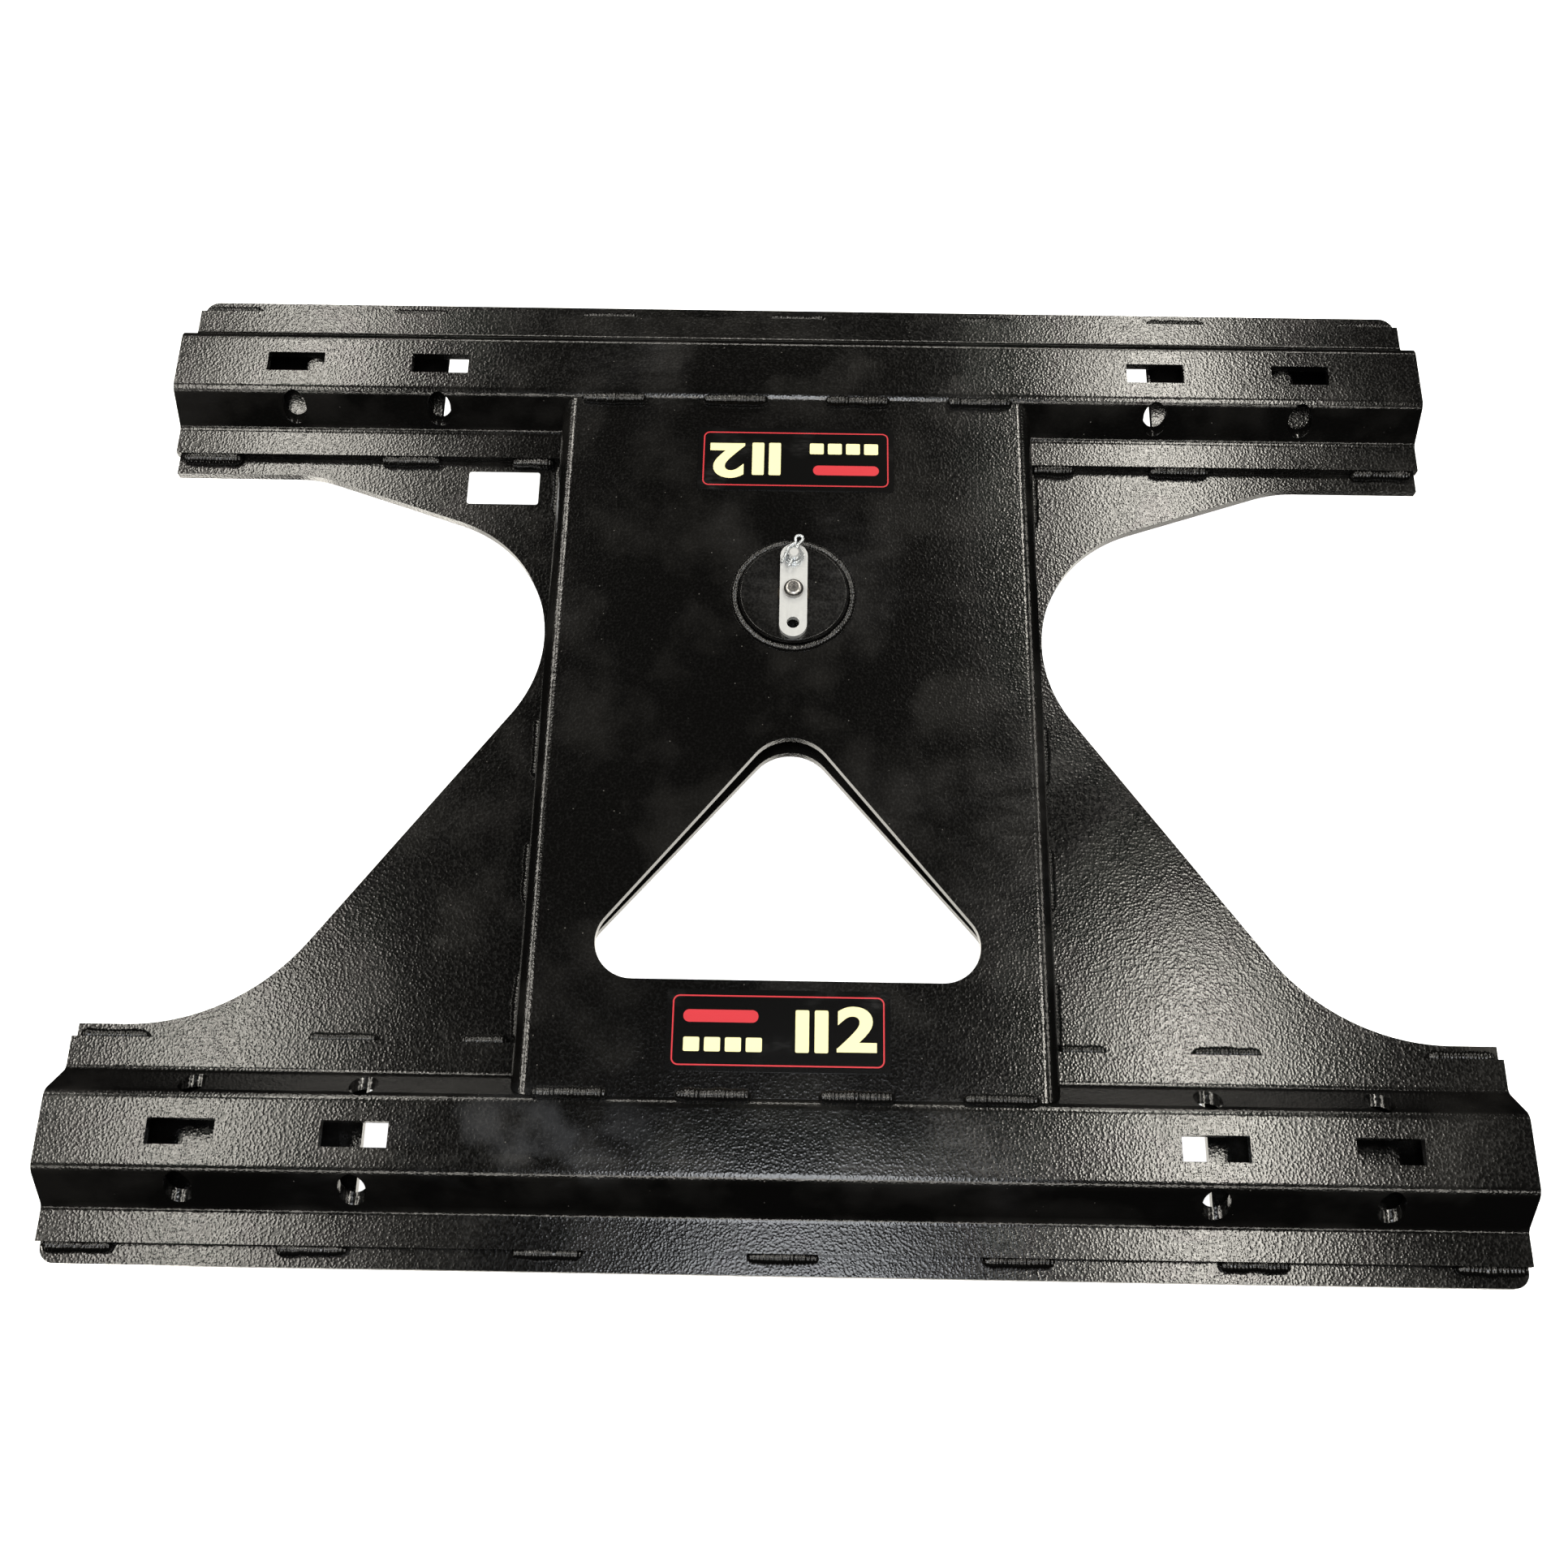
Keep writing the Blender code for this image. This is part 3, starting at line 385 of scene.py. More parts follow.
@dataclass(frozen=True)
class Metal:
    """Bare or plated steel, with brush lines, spangle and scratches."""

    name: str
    colour: Colour
    dark_colour: Colour
    roughness: float
    metallic: float = 1.0
    line_depth: float = 0.01 * MM
    spangle: float = 0.25

    def build(self, effects: dict[str, bpy.types.NodeTree]) -> bpy.types.Material:
        """Build the material from the shared effects.

        Args:
            effects: the shared node groups by name.

        Returns:
            The finished material.
        """
        material, graph, shader, place = start_material(self.name)
        marks = use_group(graph, effects["metal_marks"], {"Vector": place})
        cloud = graph.noise(place, 120.0, 4.0).outputs["Fac"]
        tone = graph.math("MULTIPLY", marks.outputs["Spangle"], self.spangle)
        tone = graph.math("MULTIPLY_ADD", graph.remap(cloud, 0.4, 0.7, 0.0, 1.0), 0.35, tone)
        shade = mix_colour(graph, tone, self.colour, self.dark_colour)
        shade = mix_colour(graph, graph.math("MULTIPLY", marks.outputs["Scratch"], 0.3), shade, self.dark_colour)
        graph.tree.links.new(shade, shader.inputs["Base Color"])
        gloss = graph.math("MULTIPLY_ADD", marks.outputs["Line"], 0.18, self.roughness - 0.09)
        gloss = graph.math("MULTIPLY_ADD", tone, 0.15, gloss, clamp=True)
        graph.tree.links.new(gloss, shader.inputs["Roughness"])
        shader.inputs["Metallic"].default_value = self.metallic
        height = graph.math("MULTIPLY_ADD", marks.outputs["Scratch"], -0.6, marks.outputs["Line"])
        bump = graph.add("ShaderNodeBump", {"Strength": 0.8, "Distance": self.line_depth, "Height": height})
        graph.tree.links.new(bump.outputs[0], shader.inputs["Normal"])
        return material


@dataclass(frozen=True)
class Film:
    """A printed sticker film: vinyl, ink or label paper under a clear face."""

    name: str
    colour: Colour
    soiled_colour: Colour
    roughness: float
    ripple_depth: float = 0.03 * MM
    ripple_scale: float = 130.0

    def build(self, effects: dict[str, bpy.types.NodeTree]) -> bpy.types.Material:
        """Build the material from the shared effects.

        Args:
            effects: the shared node groups by name.

        Returns:
            The finished material.
        """
        material, graph, shader, place = start_material(self.name)
        marks = use_group(graph, effects["handling_marks"], {"Vector": place, "Scale": 30.0, "Amount": 0.6})
        show_through = use_group(graph, effects["coat_grain"], {"Vector": place, "Cells": 430.0, "Fine": 0.1})
        soil = graph.math("MAXIMUM", marks.outputs["Smear"], marks.outputs["Speck"])
        shade = mix_colour(graph, graph.math("MULTIPLY", soil, 0.5), self.colour, self.soiled_colour)
        graph.tree.links.new(shade, shader.inputs["Base Color"])
        gloss = graph.math("MULTIPLY_ADD", marks.outputs["Smear"], 0.2, self.roughness, clamp=True)
        graph.tree.links.new(gloss, shader.inputs["Roughness"])
        wave = graph.noise(place, self.ripple_scale, 1.0).outputs["Fac"]
        height = graph.math("MULTIPLY_ADD", show_through.outputs["Height"], 0.35, wave)
        bump = graph.add("ShaderNodeBump", {"Strength": 0.6, "Distance": self.ripple_depth, "Height": height})
        graph.tree.links.new(bump.outputs[0], shader.inputs["Normal"])
        return material


class Finish(Enum):
    """Every finish on the object, with the recipe that makes it."""

    COAT = PowderCoat("wrinkle_coat")
    POST_COAT = PowderCoat("post_coat", grain_depth=0.05 * MM, roughness=0.16, marks=0.7)
    BEAD_COAT = PowderCoat("bead_coat", roughness=0.14, cells=640.0, grain_depth=0.06 * MM, marks=0.2)
    ZINC = Metal("zinc_plate", (0.62, 0.63, 0.63), (0.42, 0.43, 0.44), 0.34, metallic=0.5)
    BRIGHT_ZINC = Metal("bright_zinc_wire", (0.70, 0.73, 0.75), (0.42, 0.45, 0.48), 0.20, metallic=0.8)
    SCREW_STEEL = Metal("dark_screw_steel", (0.36, 0.35, 0.34), (0.13, 0.125, 0.12), 0.28)
    GROUND_STEEL = Metal("ground_steel", (0.52, 0.51, 0.50), (0.25, 0.24, 0.23), 0.25)
    BRONZE = Metal("bush_bronze", (0.035, 0.028, 0.020), (0.012, 0.010, 0.008), 0.45, metallic=0.7)
    BLACK_VINYL = Film("black_vinyl", (0.0025, 0.0025, 0.0025), (0.03, 0.03, 0.03), 0.16)
    RED_INK = Film("red_ink", (0.50, 0.035, 0.045), (0.25, 0.05, 0.05), 0.25)
    CREAM_INK = Film("cream_ink", (0.86, 0.80, 0.42), (0.60, 0.55, 0.35), 0.30)
    LABEL_PAPER = Film("label_paper", (0.84, 0.86, 0.90), (0.55, 0.54, 0.50), 0.45)


class FinishShop:
    """Builds each finish once and hands it out."""

    def __init__(self) -> None:
        """Build the shared effects."""
        self.effects = {
            "coat_grain": Effects.coat_grain(),
            "handling_marks": Effects.handling_marks(),
            "metal_marks": Effects.metal_marks(),
        }
        self.made: dict[Finish, bpy.types.Material] = {}

    def get(self, finish: Finish) -> bpy.types.Material:
        """Hand out the material of a finish, built on its first use.

        Args:
            finish: which finish.

        Returns:
            Its material.
        """
        if finish not in self.made:
            self.made[finish] = finish.value.build(self.effects)
            LOG.info("finish %s", finish.value.name)
        return self.made[finish]

    def paint(self, piece: bpy.types.Object, finish: Finish) -> None:
        """Give a whole piece one finish."""
        piece.data.materials.clear()
        piece.data.materials.append(self.get(finish))


# ---------------------------------------------------------------- meshes


def link_piece(name: str, mesh: bpy.types.Mesh) -> bpy.types.Object:
    """Put a mesh in the scene as an object at the origin.

    Args:
        name: the object's name.
        mesh: its mesh or curve.

    Returns:
        The new object.
    """
    piece = bpy.data.objects.new(name, mesh)
    bpy.context.scene.collection.objects.link(piece)
    return piece


def settle(piece: bpy.types.Object) -> bpy.types.Object:
    """Turn a piece's modifiers or curve into a plain mesh.

    Args:
        piece: an object with live modifiers, or a curve.

    Returns:
        A mesh object of the same name. The old object is removed.
    """
    bpy.context.view_layer.update()
    graph = bpy.context.evaluated_depsgraph_get()
    mesh = bpy.data.meshes.new_from_object(piece.evaluated_get(graph))
    name, place = piece.name, piece.matrix_world.copy()
    bpy.data.objects.remove(piece, do_unlink=True)
    mesh.transform(place)
    return link_piece(name, mesh)


def weld_mesh(piece: bpy.types.Object, angle: float = 40.0) -> None:
    """Close a mesh's seams, turn its faces outward and shade it smooth.

    Args:
        piece: the mesh object.
        angle: edges that turn more than this, in degrees, stay sharp.
    """
    shape = bmesh.new()
    shape.from_mesh(piece.data)
    bmesh.ops.remove_doubles(shape, verts=shape.verts, dist=MERGE)
    bmesh.ops.recalc_face_normals(shape, faces=shape.faces)
    shape.to_mesh(piece.data)
    shape.free()
    piece.data.shade_smooth()
    piece.data.set_sharp_from_angle(angle=math.radians(angle))


def mark_edges(piece: bpy.types.Object, least: float = 9.0, full: float = 35.0) -> None:
    """Store how sharply a mesh turns at each vertex, for wear along its edges.

    Args:
        piece: the mesh object.
        least: angle in degrees below which there is no wear.
        full: angle in degrees at which wear is full.
    """
    shape = bmesh.new()
    shape.from_mesh(piece.data)
    layer = shape.verts.layers.float.new("edge_wear")
    for vert in shape.verts:
        turn = max((edge.calc_face_angle(0.0) for edge in vert.link_edges), default=0.0)
        vert[layer] = min(max((math.degrees(turn) - least) / (full - least), 0.0), 1.0)
    shape.to_mesh(piece.data)
    shape.free()


def refined_copy(source: bpy.types.Object, name: str, width: float, segments: int = 3) -> bpy.types.Object:
    """Copy a frame node with its flat faces joined and its sharp edges rounded.

    Args:
        source: the frame node's object.
        name: the copy's name.
        width: how wide each rounded edge is, in metres.
        segments: how many faces round an edge.

    Returns:
        The copy, a plain mesh at the origin.
    """
    shape = bmesh.new()
    shape.from_mesh(source.data)
    bmesh.ops.remove_doubles(shape, verts=shape.verts, dist=MERGE)
    flat = math.radians(0.4)
    bmesh.ops.dissolve_limit(shape, angle_limit=flat, verts=shape.verts, edges=shape.edges)
    mesh = bpy.data.meshes.new(name)
    shape.to_mesh(mesh)
    shape.free()
    mesh.shade_smooth()
    piece = link_piece(name, mesh)
    bevel = piece.modifiers.new("rounded_edges", "BEVEL")
    bevel.width = width
    bevel.segments = segments
    bevel.limit_method = "ANGLE"
    bevel.angle_limit = math.radians(30)
    bevel.harden_normals = False
    normals = piece.modifiers.new("normals", "WEIGHTED_NORMAL")
    normals.keep_sharp = True
    piece = settle(piece)
    mark_edges(piece)
    return piece


def rounded_rectangle(length: float, width: float, radius: float, steps: int = 8) -> list[Point]:
    """Outline a rectangle with round corners, around the origin, anticlockwise.

    Args:
        length: its size along X.
        width: its size along Y.
        radius: its corners' radius.
        steps: how many edges make a corner.

    Returns:
        The outline's points.
    """
    points = []
    for corner, (x, y) in enumerate(((1, 1), (-1, 1), (-1, -1), (1, -1))):
        for i in range(steps + 1):
            angle = math.radians(90 * (corner + i / steps))
            points.append(
                (
                    x * (length / 2 - radius) + radius * math.cos(angle),
                    y * (width / 2 - radius) + radius * math.sin(angle),
                )
            )
    return points


def flat_piece(name: str, outlines: Sequence[Sequence[Point]], bottom: float, thickness: float) -> bpy.types.Object:
    """A flat piece with holes.

    Args:
        name: the piece's name.
        outlines: the edge and the holes, as point lists in metres.
        bottom: the height it stands on.
        thickness: how thick it is.

    Returns:
        A closed mesh object.
    """
    curve = bpy.data.curves.new(name, "CURVE")
    curve.dimensions = "2D"
    curve.fill_mode = "BOTH"
    curve.extrude = thickness / 2
    for outline in outlines:
        spline = curve.splines.new("POLY")
        spline.points.add(len(outline) - 1)
        for point, (x, y) in zip(spline.points, outline):
            point.co = (x, y, 0, 1)
        spline.use_cyclic_u = True
    piece = link_piece(name, curve)
    piece.location.z = bottom + thickness / 2
    piece = settle(piece)
    weld_mesh(piece)
    return piece


def join_meshes(name: str, pieces: Iterable[bpy.types.Object]) -> bpy.types.Object:
    """Join plain mesh pieces into one object.

    Args:
        name: the joined object's name.
        pieces: the pieces, which are used up.

    Returns:
        The joined object.
    """
    shape = bmesh.new()
    for piece in pieces:
        shape.from_mesh(piece.data)
        bpy.data.objects.remove(piece, do_unlink=True)
    mesh = bpy.data.meshes.new(name)
    shape.to_mesh(mesh)
    shape.free()
    joined = link_piece(name, mesh)
    weld_mesh(joined)
    return joined


# ---------------------------------------------------------------- geometry node trees


def weld_bead_tree() -> bpy.types.NodeTree:
    """A tree that grows a rippled weld bead along every line of a mesh.

    Returns:
        The tree. Its inputs are the bead's radius, ripple pitch and depth, wander, seed and material.
    """
    graph, given, wanted = new_group(
        "weld_bead",
        "GeometryNodeTree",
        [
            ("Geometry", "NodeSocketGeometry", None),
            ("Bead Radius", FLOAT, 3.2 * MM),
            ("Ripple Pitch", FLOAT, 2.4 * MM),
            ("Ripple Depth", FLOAT, 0.22),
            ("Wander", FLOAT, 0.9 * MM),
            ("Seed", "NodeSocketInt", 1),
            ("Finish", "NodeSocketMaterial", None),
        ],
        [("Geometry", "NodeSocketGeometry")],
    )
    add = graph.add
    path = add("GeometryNodeMeshToCurve", {"Mesh": given["Geometry"]}).outputs[0]
    fine = add("GeometryNodeResampleCurve", {"Curve": path, "Length": 0.5 * MM}, mode="LENGTH").outputs[0]
    place = add("GeometryNodeInputPosition").outputs[0]
    offset = add("ShaderNodeCombineXYZ", {0: given["Seed"], 1: given["Seed"], 2: given["Seed"]}).outputs[0]
    spot = graph.vector("ADD", place, offset)
    sway = graph.noise(spot, 120.0, 2.0)
    centred = graph.vector("SUBTRACT", sway.outputs["Color"], (0.5, 0.5, 0.5))
    drift = add("ShaderNodeVectorMath", {0: centred}, operation="SCALE")
    graph.tree.links.new(given["Wander"], drift.inputs["Scale"])
    swayed = add("GeometryNodeSetPosition", {"Geometry": fine, "Offset": drift.outputs[0]}).outputs[0]

    along = add("GeometryNodeSplineParameter").outputs["Length"]
    total = add("GeometryNodeSplineLength").outputs["Length"]
    cyclic = add("GeometryNodeInputSplineCyclic").outputs[0]
    jitter = graph.math("MULTIPLY", graph.noise(spot, 260.0, 1.0).outputs["Fac"], 0.9)
    phase = graph.math("FRACT", graph.math("ADD", graph.math("DIVIDE", along, given["Ripple Pitch"]), jitter))
    swell = graph.math("SUBTRACT", 1.0, graph.math("POWER", phase, 2.0))
    dip = graph.math("MULTIPLY", given["Ripple Depth"], graph.math("SUBTRACT", 1.0, swell))
    ripple = graph.math("SUBTRACT", 1.0, dip)
    to_end = graph.math("MINIMUM", along, graph.math("SUBTRACT", total, along))
    near = graph.math("DIVIDE", to_end, graph.math("MULTIPLY", given["Bead Radius"], 1.2), clamp=True)
    gone = graph.math("SUBTRACT", 1.0, near)
    rounding = graph.math("MULTIPLY", graph.math("MULTIPLY", gone, gone), 0.98)
    taper = graph.math("SQRT", graph.math("SUBTRACT", 1.0, rounding))
    whole = graph.math("MAXIMUM", taper, cyclic)
    uneven = graph.remap(graph.noise(spot, 90.0, 2.0).outputs["Fac"], 0.3, 0.7, 0.82, 1.15)
    rippled = graph.math("MULTIPLY", given["Bead Radius"], ripple)
    radius = graph.math("MULTIPLY", rippled, graph.math("MULTIPLY", whole, uneven))

    ring = add("GeometryNodeCurvePrimitiveCircle", {"Resolution": 14, "Radius": 1.0}).outputs[0]
    bead = add(
        "GeometryNodeCurveToMesh", {"Curve": swayed, "Profile Curve": ring, "Scale": radius, "Fill Caps": True}
    ).outputs[0]
    normal = add("GeometryNodeInputNormal").outputs[0]
    pits = graph.math("SUBTRACT", graph.noise(spot, 700.0, 2.0).outputs["Fac"], 0.5)
    depth = graph.math("MULTIPLY", pits, 0.7 * MM)
    rough = add("ShaderNodeVectorMath", {0: normal, "Scale": depth}, operation="SCALE")
    pitted = add("GeometryNodeSetPosition", {"Geometry": bead, "Offset": rough.outputs[0]}).outputs[0]
    smooth = add("GeometryNodeSetShadeSmooth", {"Geometry": pitted}).outputs[0]
    real = add("GeometryNodeRealizeInstances", {"Geometry": smooth}).outputs[0]
    done = add("GeometryNodeSetMaterial", {"Geometry": real, "Material": given["Finish"]}).outputs[0]
    graph.tree.links.new(done, wanted["Geometry"])
    return graph.tree


def spatter_tree() -> bpy.types.NodeTree:
    """A tree that drops small coated weld beads on the faces of a mesh.

    Returns:
        The tree. Its inputs are the drops' density, smallest and largest size, seed and material.
    """
    graph, given, wanted = new_group(
        "weld_spatter",
        "GeometryNodeTree",
        [
            ("Geometry", "NodeSocketGeometry", None),
            ("Density", FLOAT, 900.0),
            ("Least Radius", FLOAT, 0.25 * MM),
            ("Most Radius", FLOAT, 0.7 * MM),
            ("Seed", "NodeSocketInt", 1),
            ("Finish", "NodeSocketMaterial", None),
        ],
        [("Geometry", "NodeSocketGeometry")],
    )
    add = graph.add
    points = add(
        "GeometryNodeDistributePointsOnFaces",
        {"Mesh": given["Geometry"], "Density": given["Density"], "Seed": given["Seed"]},
    ).outputs[0]
    drop = add("GeometryNodeMeshIcoSphere", {"Radius": 1.0, "Subdivisions": 2}).outputs[0]
    size = add("FunctionNodeRandomValue", {"Seed": given["Seed"]}, data_type="FLOAT")
    for label, socket in (("Min", given["Least Radius"]), ("Max", given["Most Radius"])):
        graph.tree.links.new(socket, next(s for s in size.inputs if s.name == label and s.type == "VALUE"))
    value = next(s for s in size.outputs if s.type == "VALUE" and s.enabled)
    drops = add("GeometryNodeInstanceOnPoints", {"Points": points, "Instance": drop, "Scale": value}).outputs[0]
    real = add("GeometryNodeRealizeInstances", {"Geometry": drops}).outputs[0]
    smooth = add("GeometryNodeSetShadeSmooth", {"Geometry": real}).outputs[0]
    done = add("GeometryNodeSetMaterial", {"Geometry": smooth, "Material": given["Finish"]}).outputs[0]
    graph.tree.links.new(done, wanted["Geometry"])
    return graph.tree


def grow(name: str, mesh: bpy.types.Mesh, tree: bpy.types.NodeTree, values: dict[str, object]) -> bpy.types.Object:
    """Run a geometry node tree on a mesh.

    Args:
        name: the result's name.
        mesh: what the tree starts from.
        tree: the tree.
        values: the tree's input values, by input name.

    Returns:
        A plain mesh object.
    """
    piece = link_piece(name, mesh)
    modifier = piece.modifiers.new(tree.name, "NODES")
    modifier.node_group = tree
    sockets = {item.name: item.identifier for item in tree.interface.items_tree if item.in_out == "INPUT"}
    for label, value in values.items():
        modifier[sockets[label]] = value
    return settle(piece)


# ---------------------------------------------------------------- the object's sub-assemblies


@dataclass
class WeldedFrame:
    """The coated sheet and bar pieces that are welded into one frame."""

    frame: dict
    shop: FinishShop
    edge_radius: float = 0.7 * MM
    pieces: dict[str, bpy.types.Object] = field(default_factory=dict)

    def build(self) -> None:
        """Round the edges of plate, rails, cover and post, and coat them."""
        for node in ("base_plate", "front_rail", "rear_rail", "center_cover"):
            self.dress(node, self.edge_radius, Finish.COAT)
        self.dress("center_post", 0.5 * MM, Finish.POST_COAT)

    def dress(self, node: str, width: float, finish: Finish) -> None:
        """Stand a rounded, coated copy in for one node.

        Args:
            node: the frame node's name.
            width: how wide its rounded edges are.
            finish: its coat.
        """
        piece = refined_copy(self.frame["nodes"][node], f"{node}_coated", width)
        self.shop.paint(piece, finish)
        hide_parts(node)
        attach(piece, "root")
        self.pieces[node] = piece
        LOG.info("%s: %d faces", piece.name, len(piece.data.polygons))


@dataclass
class Stitches:
    """The stitch welds between rails, cover and plate, and the fillet ring around the post."""

    shop: FinishShop
    tree: bpy.types.NodeTree
    spatter: bpy.types.NodeTree
    length: float = 44 * MM
    bead_radius: float = 4.7 * MM
    seed: int = 11
    outer_pitch: float = 143.6 * MM
    inner_places: tuple[float, ...] = (-429 * MM, -283 * MM, -193 * MM, 189 * MM, 281 * MM, 429 * MM)
    short_places: tuple[int, ...] = (2, 3)
    short_length: float = 31 * MM
    cover_end_pitch: float = 88.5 * MM
    cover_side_places: tuple[float, ...] = (190 * MM, -12 * MM, -102 * MM, -192 * MM)
    sink_share: float = 0.38
    rail_lift_share: float = 0.42
    side_lift_share: float = 0.5
    cover_end_inset: float = 1.2 * MM
    cover_end_lift: float = 1.6 * MM
    cover_end_stretch: float = 1.08
    ring_steps: int = 160
    spatter_band: float = 8 * MM
    spatter_gap: float = 1 * MM
    spatter_sink: float = 0.1 * MM
    spatter_density: float = 2600.0

    def lines(self) -> dict[str, list[tuple[Vector, Vector]]]:
        """Where each stitch starts and ends, by the seam it closes.

        Returns:
            Seam name to (start, end) pairs.
        """
        plate_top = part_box("base_plate")[1].z
        seams: dict[str, list[tuple[Vector, Vector]]] = {}
        sink = self.bead_radius * self.sink_share
        for rail, away in (("front_rail", 1.0), ("rear_rail", -1.0)):
            low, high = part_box(rail)
            outer, inner = (high.y, low.y) if away > 0 else (low.y, high.y)
            height = plate_top + self.bead_radius * self.rail_lift_share
            seams[f"{rail}_outer_welds"] = [
                self.along_x(i * self.outer_pitch, self.length, outer + away * sink, height) for i in range(-3, 4)
            ]
            seams[f"{rail}_inner_welds"] = []
            for i, x in enumerate(self.inner_places):
                length = self.short_length if i in self.short_places else self.length
                seams[f"{rail}_inner_welds"].append(self.along_x(x, length, inner - away * sink, height))
        low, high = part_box("center_cover")
        length, height = self.length * self.cover_end_stretch, high.z + self.cover_end_lift
        for name, y in (("front", high.y - self.cover_end_inset), ("rear", low.y + self.cover_end_inset)):
            seams[f"cover_{name}_welds"] = [
                self.along_x((i - 1.5) * self.cover_end_pitch, length, y, height) for i in range(4)
            ]
        height = plate_top + self.bead_radius * self.side_lift_share
        for name, x, side in (("left", low.x, -1.0), ("right", high.x, 1.0)):
            seams[f"cover_{name}_welds"] = [
                self.along_y(x + side * sink, y, self.length, height) for y in self.cover_side_places
            ]
        return seams

    @staticmethod
    def along_x(middle: float, length: float, y: float, z: float) -> tuple[Vector, Vector]:
        """A stitch parallel to the rails."""
        return Vector((middle - length / 2, y, z)), Vector((middle + length / 2, y, z))

    @staticmethod
    def along_y(x: float, middle: float, length: float, z: float) -> tuple[Vector, Vector]:
        """A stitch parallel to the cover's sides."""
        return Vector((x, middle - length / 2, z)), Vector((x, middle + length / 2, z))

    def build(self) -> None:
        """Grow every bead and the ring, and drop spatter beside them."""
        for number, (name, lines) in enumerate(self.lines().items()):
            mesh = bpy.data.meshes.new(name)
            ends = [tuple(end) for line in lines for end in line]
            mesh.from_pydata(ends, [(2 * i, 2 * i + 1) for i in range(len(lines))], [])
            self.bead(name, mesh, self.bead_radius, self.seed + number)
        self.post_ring()
        self.drops()

    def bead(
        self, name: str, mesh: bpy.types.Mesh, radius: float, seed: int, wander: float = 1.1 * MM
    ) -> bpy.types.Object:
        """Grow beads along a mesh's lines and fix them to the frame.

        Args:
            name: the beads' name.
            mesh: the lines that they follow.
            radius: a bead's radius.
            seed: the seed of its wander and pits.
            wander: how far it strays from its line.

        Returns:
            The beads, one plain mesh.
        """
        values = {
            "Bead Radius": radius,
            "Ripple Depth": 0.24,
            "Wander": wander,
            "Seed": seed,
            "Finish": self.shop.get(Finish.BEAD_COAT),
        }
        piece = grow(name, mesh, self.tree, values)
        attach(piece, "root")
        LOG.info("%s: %d faces", piece.name, len(piece.data.polygons))
        return piece

    def post_ring(self) -> None:
        """The fillet weld around the post, in place of the frame's plain ring."""
        low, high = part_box("post_weld")
        post_low, post_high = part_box("center_post")
        centre = (low + high) / 2
        outer, inner = (high.x - low.x) / 2, (post_high.x - post_low.x) / 2
        radius = (outer - inner) * 0.52
        middle = inner + radius * 0.86
        shape = bmesh.new()
        bmesh.ops.create_circle(shape, segments=self.ring_steps, radius=middle, cap_ends=False)
        bmesh.ops.translate(shape, verts=shape.verts, vec=(centre.x, centre.y, low.z - radius * 0.15))
        mesh = bpy.data.meshes.new("post_fillet_weld")
        shape.to_mesh(mesh)
        shape.free()
        ring = self.bead("post_fillet_weld", mesh, radius, self.seed, wander=0.7 * MM)
        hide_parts("post_weld")

    def drops(self) -> None:
        """Spatter on the cover around the post and along the cover's ends."""
        low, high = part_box("post_weld")
        cover_low, cover_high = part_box("center_cover")
        centre = (low + high) / 2
        ring = (high.x - low.x) / 2 + self.spatter_gap
        reach = self.spatter_gap + self.spatter_band
        bottom, thickness = cover_high.z - self.spatter_sink, self.spatter_sink / 2
        turns = [math.tau * i / 48 for i in range(48)]
        outline = [
            [(centre.x + r * math.cos(a), centre.y + r * math.sin(a)) for a in turns]
            for r in (ring + self.spatter_band, ring)
        ]
        bands = [flat_piece("around_post", outline, bottom, thickness)]
        edge = rounded_rectangle((cover_high.x - cover_low.x) * 0.9, self.spatter_band, 2 * MM)
        for y in (cover_low.y + reach, cover_high.y - reach):
            bands.append(flat_piece("by_cover_end", [[(x, y + dy) for x, dy in edge]], bottom, thickness))
        ground = join_meshes("spatter_ground", bands)
        mesh = ground.data.copy()
        bpy.data.objects.remove(ground, do_unlink=True)
        coat = self.shop.get(Finish.BEAD_COAT)
        values = {"Density": self.spatter_density, "Seed": self.seed, "Finish": coat}
        piece = grow("weld_spatter", mesh, self.spatter, values)
        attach(piece, "root")
        LOG.info("%s: %d faces", piece.name, len(piece.data.polygons))


